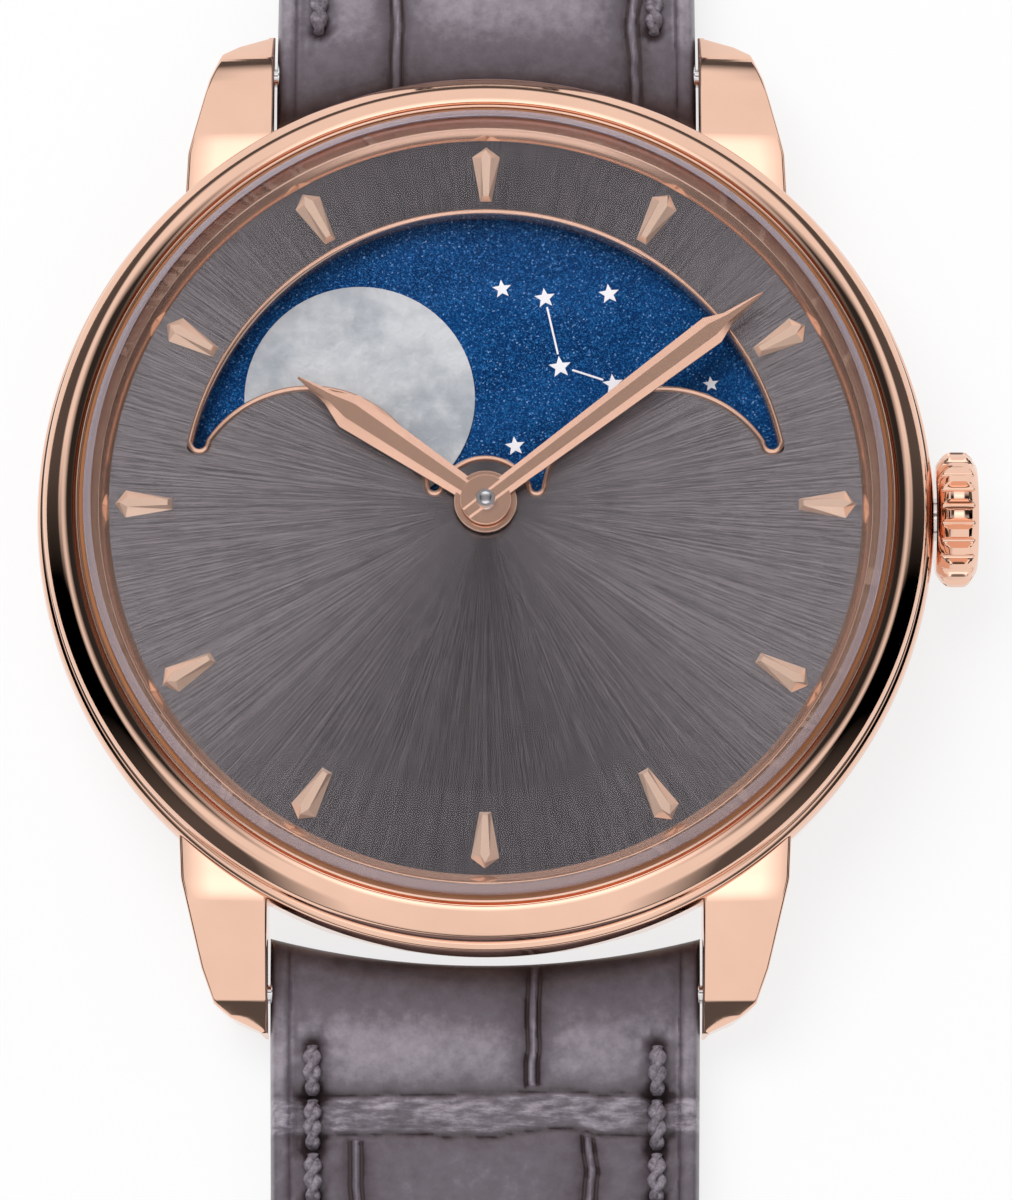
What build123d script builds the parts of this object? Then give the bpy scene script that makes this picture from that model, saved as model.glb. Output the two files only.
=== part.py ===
from build123d import *
import os
from math import atan2, cos, degrees, hypot, pi, radians, sin, sqrt

# Moon phase watch, lying on its case back with its strap open. Sizes are in millimetres.
# Z is the axis of the hands, +Y points to 12 o'clock, +X to the crown; z = 0 is the case back's flat face.

# Clearances and allowances
overrun = 1.0  # how far a cutter runs past the face that it cuts
running_gap = 0.03  # radial play of an arbor in its hole
hinge_gap = 0.08  # radial play of the strap and buckle on their bars
sliding_gap = 0.15  # play round the pieces that slide
mesh_gap = 0.03  # how far apart two wheels stand past their pitch circles
level_gap = 0.07  # air between one wheel and the next above it
seat_gap = 0.02  # air between pieces that only stand beside each other
round_from = 1.5  # radius from which a piece is truly round: thinner arbors, shanks and holes have flats
small_sides = 16

# Case middle: a turned ring, widest a little under its top edge, and four lugs
case_diameter = 42.0
back_height = 1.5  # thickness of the case back, on which the middle stands
middle_height = 4.9
foot_width = 1.8  # of the ring at the case back
waist_height = 3.0
waist_inset = 0.2
belt_height = 5.5  # of the widest line over the table
shoulder_drop = 0.22
shoulder_inset = 0.12
rim_inset = 0.34

# Lugs
lug_reach = 3.1  # of the tips past the case's outside
lug_gap = 20.2  # between the inner faces, for a 20 mm strap
lug_tip_width = 2.5
lug_tip_slant = 1.2  # how far the outer corner lies behind the inner one
lug_shoulder_width = 3.05
lug_shoulder_back = 2.7  # from the tip
lug_root_width = 4.1
lug_root_back = 9.0
lug_flank_share = 0.75  # of that length, where the flank starts to turn in
lug_tip_low = 0.7  # underside of the tip over the table
lug_tip_face = 0.6  # height of the upright end face
lug_facet_top = 3.0
lug_facet_depth = 0.6
lug_bend_height = 5.25
lug_bend_back = 3.5
lug_root_low = 1.6
lug_root_drop = 0.2  # of the lug's top under the case middle's top

# Spring bars and the room for the strap's ends
bar_setback = 1.9  # from the lug tips
bar_height = 2.1
bar_radius = 0.75
bar_pin_radius = 0.45
bar_pin_length = 1.1  # what goes into each lug
bar_hole_extra = 0.15
strap_room_radius = 2.9  # round each bar

# Room inside the case. Places and widths of the dial and the movement are given in plan units, which keep to
# the main plate, so a wider or narrower case has a wider or narrower watch in it.
middle_wall = 2.9  # from the case's outside to its bore
casing_width = 1.6  # from the bore to the main plate
plate_radius = case_diameter / 2 - middle_wall - casing_width
plan_unit = plate_radius / 16.5  # the main plate's radius is 16.5 plan units

# Bezel
bezel_height = 2.2
bezel_foot_inset = 0.44  # these insets are from the case's outside
bezel_knee_inset = 0.55  # where the flank bends over into the band
bezel_knee_height = 1.15
bezel_shoulder_inset = 1.05
bezel_shoulder_drop = 0.38  # under the bead
bezel_band_inset = 1.8  # top edge of the sloping band
bezel_band_drop = 0.18  # of that edge under the bead
bezel_groove_inset = 1.89
bezel_groove_depth = 0.32
bead_inset = 1.97
bead_width = 0.13
crystal_seat_height = 1.58  # over the case middle

# Crystal, its gasket and the flange round the dial
gasket_width = 0.22  # between the bead and the crystal
crystal_edge_height = 0.95
crystal_bevel_width = 0.45
crystal_bevel_height = 0.35
crystal_foot_width = 0.78
crystal_inner_rise = 0.55  # from the seat to the dome's inner edge
crystal_dome_rise = 0.72
crystal_thickness = 1.0
gasket_height = 0.5
flange_ledge_width = 0.68  # under the crystal's foot
flange_slope_width = 0.47
crystal_middle_share = 0.45  # the dome's nearly flat middle to its inner radius

# Dial and the frame of its window
dial_top = 7.5
dial_thickness = 0.5
dial_lap = 0.05  # of the dial under the flange's mouth
dial_hole_radius = 1.15 * plan_unit
window_radius = 14.2 * plan_unit
lobe_radius = 5.45 * plan_unit
lobe_offset = 8.23 * plan_unit
window_hub_radius = 2.1 * plan_unit
outer_horn_height = 2.45 * plan_unit
inner_horn_height = 0.4 * plan_unit
horn_round = 0.3 * plan_unit
frame_width = 0.25
frame_rise = 0.2
frame_skirt = 0.4  # how far the frame hangs under the dial

# Hour markers: kites with a bevel all round a narrow flat
marker_count = 12
marker_tip_inset = 0.29  # from the flange
marker_length = 2.65 * plan_unit
marker_shoulder_back = 0.49 * plan_unit
marker_width = 1.3 * plan_unit
marker_end_width = 0.53 * plan_unit
marker_height = 0.35
marker_flat_width = 0.44 * plan_unit
marker_flat_end_width = 0.25 * plan_unit
marker_bevel = 0.2 * plan_unit  # from the outline's ends to the flat's ends

# Hands, at eight and three quarter minutes past ten. The outlines are distances from the centre and widths.
hour_angle = 304.3  # degrees clockwise from 12 o'clock
minute_angle = 52.4
hour_hand_length = 10.6 * plan_unit
hour_hand_tip_width = 0.16 * plan_unit
hour_neck_distance = 8.84 * plan_unit
hour_neck_width = 0.7 * plan_unit
hour_shoulder_distance = 7.67 * plan_unit
hour_shoulder_width = 1.76 * plan_unit
hour_arm_width = 0.92 * plan_unit
hour_hub_radius = 1.46 * plan_unit
minute_hand_length = 16.35 * plan_unit
minute_hand_tip_width = 0.14 * plan_unit
minute_neck_distance = 14.25 * plan_unit
minute_neck_width = 0.66 * plan_unit
minute_shoulder_distance = 13.34 * plan_unit
minute_shoulder_width = 1.43 * plan_unit
minute_arm_width = 0.8 * plan_unit
minute_hub_radius = 1.18 * plan_unit
hand_flat_share = 0.42  # width of the flat on top to the hand's width
hand_thickness = 0.28
hub_thickness = 0.2
hour_hand_clearance = 0.18  # over the window's frame
minute_hand_clearance = 0.14  # over the hour hand
centre_pin_radius = 0.42 * plan_unit
centre_pin_rise = 0.28  # over the minute hand

# Moon disc, and the two moons on it
window_depth = 1.38  # from the frame's top to the disc
moon_disc_radius = 14.6 * plan_unit
moon_disc_thickness = 0.3
moon_radius = 5.4 * plan_unit
moon_track_radius = 7.96 * plan_unit
moon_angle = 137.9  # degrees counter-clockwise from 3 o'clock
moon_thickness = 0.1

# Casing ring and main plate
plate_top = 5.1
plate_thickness = 1.2
casing_ring_lift = 0.05  # over the case back's gasket
pivot_depth = 0.5  # how far an arbor reaches into the plate or its bridge

# Bridges, seen through the case back
bridge_radius = 15.4 * plan_unit
bridge_thickness = 0.85
train_space = 1.2  # between the plate and the bridges
finger_width = 2.5 * plan_unit
bridge_rim_radius = 12.4 * plan_unit
cock_width = 2.4 * plan_unit
cock_direction = -70.0
seam_reach_share = 1.1  # where the seam between the bridges leaves their disc, to its radius
seam_left_share, seam_middle_share = 0.2, 0.14  # heights of the seam to that radius
seam_bend_shares = (0.5, 0.1)  # a bend, to the crown wheel's distance and to the radius
seam_right_shares = (0.62, 0.25)
barrel_screw_directions = (20, 100, 160)
train_screw_directions = (186, 262)
train_sector_directions = (178, 220, 250, 278)
finger_directions = (200, 215, 250, 272)
cock_thickness = 0.5
balance_room = 0.35 * plan_unit  # round the balance's rim
bridge_foot_radius = 1.4 * plan_unit
pallet_bridge_width = 1.5 * plan_unit
pallet_bridge_reach = 2.2 * plan_unit
pallet_bridge_thickness = 0.22
pallet_bridge_turn = 70.0  # of each half from the line of the escapement, in degrees

# Screws and jewels of the movement
screw_head_radius = 0.75 * plan_unit
screw_head_height = 0.22
screw_radius = 0.35 * plan_unit
screw_slot_width = 0.16 * plan_unit
screw_slot_depth = 0.1
screw_slot_turn = 37.0  # degrees from each screw's slot to the next one's
screw_grip = 0.8  # length of the thread in the plate
jewel_radius = 0.62 * plan_unit
jewel_thickness = 0.3

# Teeth: flat tops, pointed gaps. Shares of the module, and of the pitch.
tooth_rise_share = 0.7
tooth_fall_share = 1.6
tooth_top_share = 0.22

# Going train: numbers of teeth and modules
barrel_teeth, centre_pinion_teeth, barrel_module = 48, 8, 0.25 * plan_unit
centre_teeth, third_pinion_teeth, centre_module = 48, 6, 0.2 * plan_unit
third_teeth, fourth_pinion_teeth, third_module = 45, 6, 0.18 * plan_unit
fourth_teeth, escape_pinion_teeth, fourth_module = 60, 6, 0.14 * plan_unit
arbor_radius = 0.17 * plan_unit
wheel_thickness = 0.15
wheel_rim_share = 0.8  # inner radius of a wheel's rim to its pitch radius
wheel_hub_radius = 0.75 * plan_unit
spoke_width = 0.4 * plan_unit
third_direction = 215.0
fourth_direction = -50.2
escape_direction = -10.0
barrel_thickness = 0.8
barrel_drum_share = 0.9  # drum to pitch radius
barrel_tooth_height = 0.4
barrel_arbor_radius = 0.7 * plan_unit
centre_arbor_radius = 0.3 * plan_unit

# Escapement and balance
escape_line = 8.0  # direction of the line of the escapement, in degrees
escape_tooth_count = 15
escape_radius = 2.4 * plan_unit
escape_tooth_depth = 0.45 * plan_unit
escape_hook_share = 0.35
escape_rim_share = 0.68  # inner radius of its rim to its radius
escape_spoke_share = 0.72  # where its spokes end
escape_spoke_count = 4
escape_spoke_turn = 20.0
pallet_distance = 2.9 * plan_unit  # from the escape wheel's centre to the pallet arbor
balance_distance = 3.2 * plan_unit  # from the pallet arbor to the balance staff
pallet_arm_width = 0.35 * plan_unit
pallet_stone_width = 0.28 * plan_unit
pallet_span = 62.0  # degrees of the escape wheel between the two stones, seen from its centre
fork_length = 2.75 * plan_unit
fork_width = 0.7 * plan_unit
fork_notch_width = 0.3 * plan_unit
fork_notch_depth = 0.4 * plan_unit
balance_radius = 4.4 * plan_unit
balance_rim_width = 0.55 * plan_unit
balance_thickness = 0.3
balance_arm_width = 0.5 * plan_unit
balance_arm_turn = 40.0  # from the line of the escapement, in degrees
staff_radius = 0.15 * plan_unit
roller_radius = 0.62 * plan_unit
impulse_pin_radius = 0.09 * plan_unit
impulse_pin_offset = 0.48 * plan_unit
hairspring_turns = 5
hairspring_steps = 16  # straight steps in a turn
hairspring_start_radius = 0.75 * plan_unit
hairspring_pitch = 0.3 * plan_unit
hairspring_width = 0.07 * plan_unit
hairspring_height = 0.12
collet_radius = 0.62 * plan_unit

# Winding work
crown_wheel_distance = 8.6 * plan_unit  # from the centre, on the stem's line
ratchet_teeth, crown_wheel_teeth = 36, 24
winding_wheel_thickness = 0.18
winding_wheel_lift = 0.05  # over the barrel bridge
contrate_radius = 2.2 * plan_unit
contrate_thickness = 0.2
winding_pinion_teeth = 12
winding_pinion_radius = 1.25
winding_pinion_length = 1.2 * plan_unit
click_radius = 0.75 * plan_unit
click_direction = 152.0  # degrees, from the barrel's centre
click_beak_lead = 9.0  # degrees from the click's pivot to its beak
click_beak_share = 0.4  # of the click's radius, from the teeth to the beak's middle
click_arm_share = 0.7  # width of the click's arm to its radius
click_spring_touch_turn = 60.0  # degrees from the click's direction
click_spring_turn = 30.0
click_reach = 1.7 * plan_unit
click_spring_width = 0.16 * plan_unit
click_spring_length = 3.4 * plan_unit

# Stem, setting lever, tube and crown
stem_height = 4.4
stem_radius = 0.45
stem_inner_end = 9.4 * plan_unit
stem_groove_place = 14.0 * plan_unit
crown_pull = 1.0  # how far the crown pulls out to set the hands
stem_groove_width = 0.5
stem_groove_radius = 0.26
stem_channel_width = 1.3
lever_thickness = 0.25
lever_radius = 0.7 * plan_unit
lever_length = 2.6 * plan_unit
lever_pin_radius = 0.2
tube_radius = 1.0
tube_wall = 0.35
tube_stand = 1.0  # how far the tube stands out of the case
crown_radius = 3.17
crown_length = 1.95
crown_dome = 0.15
crown_flute_count = 22
crown_flute_depth = 0.34
crown_flute_top_share = 0.42
crown_end_slope = 0.55
crown_face_radius = 2.5
crown_standoff = 0.06  # between the case and the crown
crown_hollow_radius = 1.45
crown_hollow_depth = 1.15
crown_stem_grip = 0.6  # how far the stem goes into the crown past its hollow

# Under the dial: hour motion and moon work
cannon_teeth, minute_wheel_teeth, cannon_module = 8, 24, 0.2 * plan_unit
minute_pinion_teeth, hour_teeth = 6, 24
day_teeth, day_pinion_teeth = 48, 6
step_teeth, step_pinion_teeth, step_module = 36, 6, 0.27 * plan_unit
moon_teeth, moon_module = 59, 0.3 * plan_unit
minute_wheel_direction = -60.0
day_wheel_distance = 8.2 * plan_unit  # from the centre
cannon_radius = 0.57 * plan_unit
hour_pipe_wall = 0.32 * plan_unit
motion_lift = 0.06  # of the lowest wheel over the plate

# Case back, its window and gasket
back_setback = 1.9  # of the case back's edge from the case's outside
back_chamfer = 0.4
back_ring_width = 3.5  # from the edge to the window
back_window_lift = 0.3  # of the window over the table
back_window_thickness = 1.0
back_gasket_height = 0.4
back_gasket_width = 0.7
back_notch_count = 6
back_notch_length = 1.5
back_notch_width = 2.2
back_notch_depth = 0.5

# Strap: padded at the lugs, thinner and narrower towards its ends
strap_clearance = 0.15  # each side, between the lugs
strap_end_width = 18.0
strap_padded_height = 3.9  # at the spring bar
strap_flat_height = 2.5  # where the padding ends
strap_edge_share = 0.78  # height of the strap's edge to its height
crown_share = 0.6  # where the shoulders end, to the half width
strap_shoulder_share = 0.08  # drop there from the middle
strap_padding_length = 42.0
strap_nose_length = 2.5  # from the bar towards the case
strap_nose_share = 0.45  # height of the nose to the height at the bar
strap_rise_share = 0.7  # where full height is reached, to the way from the concave end to the bar
strap_nose_curve = 38.0  # radius of the concave end
strap_nose_middle = 1.35  # from the bar to the concave end's middle
short_length = 75.0  # from the spring bar to the buckle's bar
long_length = 115.0  # from the spring bar to the tip
strap_tip_length = 14.0
strap_tip_width = 9.0
strap_tip_share = 0.8  # height at the tip to the flat height
strap_hole_radius = 0.9
strap_hole_count = 7
strap_hole_pitch = 6.5
strap_hole_first = 27.0  # from the tip
loop_height = 2.8  # of the strap's end round the buckle bar

# Keepers: leather loops round the short half
keeper_length = 5.0
keeper_wall = 1.0
keeper_extra_width = 0.9  # the strap is wider than its end where the keepers sit
fixed_keeper_place = 6.5  # from the buckle's bar to the keeper's near edge
loose_keeper_place = 19.0
keeper_strap_room = 2.6  # height left over the short half for the long one

# Buckle
buckle_width = 22.2
buckle_length = 16.0
buckle_wire = 1.8
buckle_height = 2.0
buckle_bar_radius = 0.6
buckle_bar_hole_depth = 0.8
buckle_ear_radius = 1.1
buckle_corner = 3.0
tongue_width = 1.7
tongue_height = 1.0
tongue_eye_radius = 1.25
tongue_root_share = 0.6  # heights along its top and underside to its full height
tongue_end_share = 0.9
tongue_tip_share = 0.3
tongue_overhang = 0.7  # past the far side of the frame
tongue_slot_width = 2.6
tongue_slot_length = 6.0

# Worked out from the sizes above
case_radius = case_diameter / 2
middle_bore_radius = case_radius - middle_wall
middle_top = back_height + middle_height
lug_span = case_diameter + 2 * lug_reach  # from tip to tip
bead_outer_radius = case_radius - bead_inset
bead_inner_radius = bead_outer_radius - bead_width
crystal_radius = bead_inner_radius - gasket_width
flange_mouth_radius = crystal_radius - flange_ledge_width
flange_dial_radius = flange_mouth_radius - flange_slope_width
dial_radius = flange_mouth_radius + dial_lap
marker_tip_radius = flange_dial_radius - marker_tip_inset
back_radius = case_radius - back_setback
back_window_radius = back_radius - back_ring_width
bezel_top = middle_top + bezel_height
crystal_seat = middle_top + crystal_seat_height
dial_seat = dial_top - dial_thickness
marker_top = dial_top + marker_height
frame_top = dial_top + frame_rise
hour_hand_low = frame_top + hour_hand_clearance
minute_hand_low = hour_hand_low + hand_thickness + minute_hand_clearance
centre_pin_top = minute_hand_low + hand_thickness + centre_pin_rise
moon_disc_top = frame_top - window_depth
moon_disc_low = moon_disc_top - moon_disc_thickness
bar_place = lug_span / 2 - bar_setback
strap_width = lug_gap - 2 * strap_clearance
short_rest_height = keeper_wall + sliding_gap
buckle_axis_height = loop_height / 2
plate_low = plate_top - plate_thickness
bridge_top = plate_low - train_space
bridge_low = bridge_top - bridge_thickness
winding_top = bridge_low - winding_wheel_lift
jewel_top = bridge_low + jewel_thickness
arbor_low = jewel_top + seat_gap
winding_low = winding_top - winding_wheel_thickness
hour_pipe_radius = cannon_radius + running_gap + hour_pipe_wall
moon_hole_radius = hour_pipe_radius + running_gap
stem_end = case_radius + crown_standoff + crown_hollow_depth + crown_stem_grip

# Levels of the wheels between the plate and the bridges, counted from the bridges' inner face
third_wheel_low = bridge_top + level_gap
barrel_tooth_low = third_wheel_low + wheel_thickness + level_gap
barrel_low = barrel_tooth_low - (barrel_thickness - barrel_tooth_height) / 2
fourth_wheel_low = barrel_tooth_low + wheel_thickness
escape_wheel_low = fourth_wheel_low + wheel_thickness + level_gap
centre_wheel_low = plate_low - level_gap - wheel_thickness
balance_low = bridge_top - level_gap
pallet_bridge_low = balance_low + balance_thickness + level_gap
pallet_bridge_top = pallet_bridge_low + pallet_bridge_thickness
roller_low = escape_wheel_low + wheel_thickness + level_gap / 2
hairspring_low = bridge_low + cock_thickness + level_gap / 4
contrate_top = stem_height - winding_pinion_radius - running_gap
winding_pinion_start = crown_wheel_distance + contrate_radius - winding_pinion_length / 2
balance_clear = balance_radius + balance_room

# Levels of the wheels under the dial, counted from the plate
minute_wheel_low = plate_top + motion_lift
hour_wheel_low = minute_wheel_low + wheel_thickness + level_gap
step_wheel_low = hour_wheel_low + wheel_thickness + level_gap
moon_wheel_low = moon_disc_low - wheel_thickness - seat_gap


def polar(distance, direction):
    """The point at a distance from the centre, in degrees counter-clockwise from 3 o'clock."""
    return distance * cos(radians(direction)), distance * sin(radians(direction))


def shifted(point, step):
    """One point moved by another."""
    return point[0] + step[0], point[1] + step[1]


def meeting(first, first_reach, second, second_reach):
    """The point on the left of the line from first to second that lies at both reaches."""
    apart = hypot(second[0] - first[0], second[1] - first[1])
    along = (apart**2 + first_reach**2 - second_reach**2) / (2 * apart)
    aside = sqrt(first_reach**2 - along**2)
    across = (second[0] - first[0]) / apart, (second[1] - first[1]) / apart
    return (
        first[0] + along * across[0] - aside * across[1],
        first[1] + along * across[1] + aside * across[0],
    )


def heading(start, end):
    """Direction from one point to another, in radians."""
    return atan2(end[1] - start[1], end[0] - start[0])


def pair_distance(teeth_a, teeth_b, module):
    """Distance between the centres of two wheels in mesh."""
    return (teeth_a + teeth_b) * module / 2 + mesh_gap


def mesh_phase(teeth_a, phase_a, direction, teeth_b):
    """Where the second wheel's first tooth points, so that a gap of it faces the first wheel's tooth."""
    offset = (direction - phase_a) * teeth_a / (2 * pi)
    return direction + pi - (0.5 - offset) * 2 * pi / teeth_b


def column(radius, height):
    """A round column that stands on the plane: with flats if it is thin."""
    outline = RegularPolygon(radius, small_sides) if radius < round_from else Circle(radius)
    return extrude(outline, height)


def disc(radius, low, high, place=(0, 0)):
    """A round disc between two heights."""
    return Pos(place[0], place[1], low) * column(radius, high - low)


def pivot(radius, low, high, place):
    """A thin arbor that is truly round all the same, because its wheel has no other round face."""
    return Pos(place[0], place[1], low) * extrude(Circle(radius), high - low)


def washer(radius, hole, low, high, place=(0, 0)):
    """A disc with a round hole."""
    return disc(radius, low, high, place) - disc(hole, low - overrun, high + overrun, place)


def rod(radius, start, end, height, y=0):
    """A round rod along X at a height over the table."""
    return Pos(start, y, height) * Rot(0, 90, 0) * extrude(Circle(radius), end - start)


def block(low_corner, high_corner):
    """A box between two corners."""
    size = [high - low for low, high in zip(low_corner, high_corner)]
    return Pos(*low_corner) * Box(*size, align=(Align.MIN, Align.MIN, Align.MIN))


def plate(points, low, high):
    """A flat plate with a straight-sided outline."""
    return Pos(0, 0, low) * extrude(make_face(Polyline(*points, close=True)), high - low)


def finger(start, end, width, low, high):
    """A flat bar with round ends, from one point to another."""
    length = hypot(end[0] - start[0], end[1] - start[1])
    middle = (start[0] + end[0]) / 2, (start[1] + end[1]) / 2
    slot = SlotCenterToCenter(length, width, rotation=degrees(heading(start, end)))
    return Pos(middle[0], middle[1], low) * extrude(slot, high - low)


def turned(points, *arcs):
    """A piece turned on a lathe, from each corner's radius and height and any arcs (start, middle, end)."""
    edges = [Polyline(*[(r, 0, z) for r, z in points])]
    for arc in arcs:
        edges.append(ThreePointArc(*[(r, 0, z) for r, z in arc]))
    if not arcs:
        edges.append(Line((points[-1][0], 0, points[-1][1]), (points[0][0], 0, points[0][1])))
    return revolve(make_face(edges), Axis.Z)


def toothed_face(teeth, module, phase=0.0):
    """The outline of a wheel: each tooth has a flat top and each gap is a point."""
    pitch_radius = teeth * module / 2
    tip = pitch_radius + tooth_rise_share * module
    root = pitch_radius - tooth_fall_share * module
    half_top = tooth_top_share * pi / teeth
    points = []
    for tooth in range(teeth):
        middle = phase + 2 * pi * tooth / teeth
        for radius, angle in ((tip, middle - half_top), (tip, middle + half_top), (root, middle + pi / teeth)):
            points.append((radius * cos(angle), radius * sin(angle)))
    return make_face(Polyline(*points, close=True))


def toothed(teeth, module, low, high, place, phase=0.0):
    """A solid wheel or pinion between two heights."""
    return Pos(place[0], place[1], low) * extrude(toothed_face(teeth, module, phase), high - low)


def spoked(teeth, module, low, place, phase, spokes):
    """A train wheel: a thin toothed rim on straight spokes, with a round hub."""
    pitch_radius = teeth * module / 2
    hollow = pitch_radius * wheel_rim_share
    high = low + wheel_thickness
    wheel = toothed(teeth, module, low, high, place, phase) - disc(hollow, low - overrun, high + overrun, place)
    for spoke in range(spokes):
        direction = degrees(phase) + 360 * spoke / spokes
        arm = Pos(0, -spoke_width / 2) * Rectangle(
            hollow + module, spoke_width, align=(Align.MIN, Align.MIN)
        )
        wheel += Pos(place[0], place[1], low) * Rot(0, 0, direction) * extrude(arm, wheel_thickness)
    return wheel + disc(wheel_hub_radius, low, high, place)


def skinned(sections):
    """A solid through closed sections with as many corners each, joined by flat triangles."""
    faces = [Face(Wire.make_polygon(ends, close=True)) for ends in (sections[0], sections[-1])]
    count = len(sections[0])
    for near, far in zip(sections, sections[1:]):
        for corner in range(count):
            after = (corner + 1) % count
            for trio in (
                (near[corner], near[after], far[after]),
                (near[corner], far[after], far[corner]),
            ):
                faces.append(Face(Wire.make_polygon(trio, close=True)))
    return Solid(Shell(faces))


def facetted(low_points, high_points, low, high):
    """A faceted bar: a lower outline joined to a narrower upper one by flat faces."""
    return skinned([[(x, y, low) for x, y in low_points], [(x, y, high) for x, y in high_points]])


# Places of the wheels, seen from the dial's side
centre = (0.0, 0.0)
crown_wheel_place = (crown_wheel_distance, 0.0)
winding_module = 2 * (crown_wheel_distance - mesh_gap) / (ratchet_teeth + crown_wheel_teeth)
barrel_place = meeting(
    centre,
    pair_distance(barrel_teeth, centre_pinion_teeth, barrel_module),
    crown_wheel_place,
    pair_distance(ratchet_teeth, crown_wheel_teeth, winding_module),
)
third_place = polar(pair_distance(centre_teeth, third_pinion_teeth, centre_module), third_direction)
fourth_step = polar(pair_distance(third_teeth, fourth_pinion_teeth, third_module), fourth_direction)
fourth_place = shifted(third_place, fourth_step)
escape_step = polar(pair_distance(fourth_teeth, escape_pinion_teeth, fourth_module), escape_direction)
escape_place = shifted(fourth_place, escape_step)
pallet_place = shifted(escape_place, polar(pallet_distance, escape_line))
balance_place = shifted(pallet_place, polar(balance_distance, escape_line))
minute_wheel_distance = pair_distance(cannon_teeth, minute_wheel_teeth, cannon_module)
minute_wheel_place = polar(minute_wheel_distance, minute_wheel_direction)
hour_module = 2 * (minute_wheel_distance - mesh_gap) / (minute_pinion_teeth + hour_teeth)
day_place = meeting(
    minute_wheel_place, pair_distance(minute_pinion_teeth, day_teeth, hour_module), centre, day_wheel_distance
)
step_place = meeting(
    day_place,
    pair_distance(day_pinion_teeth, step_teeth, step_module),
    centre,
    pair_distance(step_pinion_teeth, moon_teeth, moon_module),
)


def lug(side_x, side_y):
    """One lug: its side view carried across, then trimmed to its plan, so that its end is steep."""
    tip = lug_span / 2
    root = tip - lug_root_back
    root_top = middle_top - lug_root_drop
    facet = tip - lug_facet_depth
    corners = [
        (facet, lug_facet_top),
        (tip, lug_tip_low + lug_tip_face),
        (tip, lug_tip_low),
        (root, lug_root_low),
        (root, root_top),
    ]
    straight = Polyline(*[(0, y, z) for y, z in corners])
    bend = (tip - lug_bend_back, lug_bend_height)
    top = ThreePointArc((0, root, root_top), (0, *bend), (0, facet, lug_facet_top))
    inner = lug_gap / 2
    side = Pos(inner, 0, 0) * extrude(make_face([straight, top]), lug_root_width, dir=(1, 0, 0))
    plan = [
        (inner, root),
        (inner, tip),
        (inner + lug_tip_width, tip - lug_tip_slant),
        (inner + lug_shoulder_width, tip - lug_shoulder_back),
        (inner + lug_root_width, tip - lug_root_back * lug_flank_share),
        (inner + lug_root_width, root),
    ]
    solid = side & plate(plan, 0, middle_top)
    if side_x < 0:
        solid = mirror(solid, Plane.YZ)
    if side_y < 0:
        solid = mirror(solid, Plane.XZ)
    return solid


def case_middle():
    """The ring of the case with its four lugs, room for the strap's ends, and holes for bars and tube."""
    bore = middle_bore_radius
    body = turned(
        [
            (bore, back_height),
            (bore + foot_width, back_height),
            (case_radius - waist_inset, waist_height),
            (case_radius, belt_height),
            (case_radius - shoulder_inset, middle_top - shoulder_drop),
            (case_radius - rim_inset, middle_top),
            (bore, middle_top),
        ]
    )
    for side_x in (-1, 1):
        for side_y in (-1, 1):
            body += lug(side_x, side_y)
    body -= disc(bore, back_height - overrun, middle_top + overrun)
    body -= disc(back_radius + seat_gap, -overrun, back_height)
    pin_hole = lug_gap / 2 + bar_pin_length + bar_hole_extra
    for side_y in (-bar_place, bar_place):
        body -= rod(strap_room_radius, -lug_gap / 2, lug_gap / 2, bar_height, side_y)
        body -= rod(bar_pin_radius + running_gap, -pin_hole, pin_hole, bar_height, side_y)
    return body - rod(tube_radius, bore - overrun, case_radius + overrun, stem_height)


def bezel():
    """The ring that holds the crystal: a sloping band, a groove and a bead."""
    return turned(
        [
            (case_radius - bezel_foot_inset, middle_top),
            (case_radius - bezel_knee_inset, middle_top + bezel_knee_height),
            (case_radius - bezel_shoulder_inset, bezel_top - bezel_shoulder_drop),
            (case_radius - bezel_band_inset, bezel_top - bezel_band_drop),
            (case_radius - bezel_groove_inset, bezel_top - bezel_groove_depth),
            (bead_outer_radius, bezel_top),
            (bead_inner_radius, bezel_top),
            (bead_inner_radius, middle_top),
        ]
    )


def crystal():
    """The domed crystal: a foot that stands on the flange, a bevelled edge and a raised middle."""
    inner_radius = crystal_radius - crystal_foot_width
    dome_low = crystal_seat + crystal_inner_rise
    shoulder = crystal_seat + crystal_edge_height + crystal_bevel_height
    inner_top = dome_low + crystal_dome_rise
    return turned(
        [
            (0, inner_top + crystal_thickness),
            (0, inner_top),
            (inner_radius * crystal_middle_share, inner_top),
            (inner_radius, dome_low),
            (inner_radius, crystal_seat),
            (crystal_radius, crystal_seat),
            (crystal_radius, crystal_seat + crystal_edge_height),
            (crystal_radius - crystal_bevel_width, shoulder),
            (inner_radius * crystal_middle_share, inner_top + crystal_thickness),
        ]
    )


def crystal_gasket():
    """The amber ring pressed between the crystal and the bezel."""
    return washer(bead_inner_radius, crystal_radius, crystal_seat, crystal_seat + gasket_height)


def rehaut_ring():
    """The sloping flange between the dial and the crystal's foot."""
    outer = bead_inner_radius - seat_gap
    return turned(
        [
            (outer, dial_top),
            (outer, crystal_seat),
            (flange_mouth_radius, crystal_seat),
            (flange_dial_radius, dial_top),
        ]
    )


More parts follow.
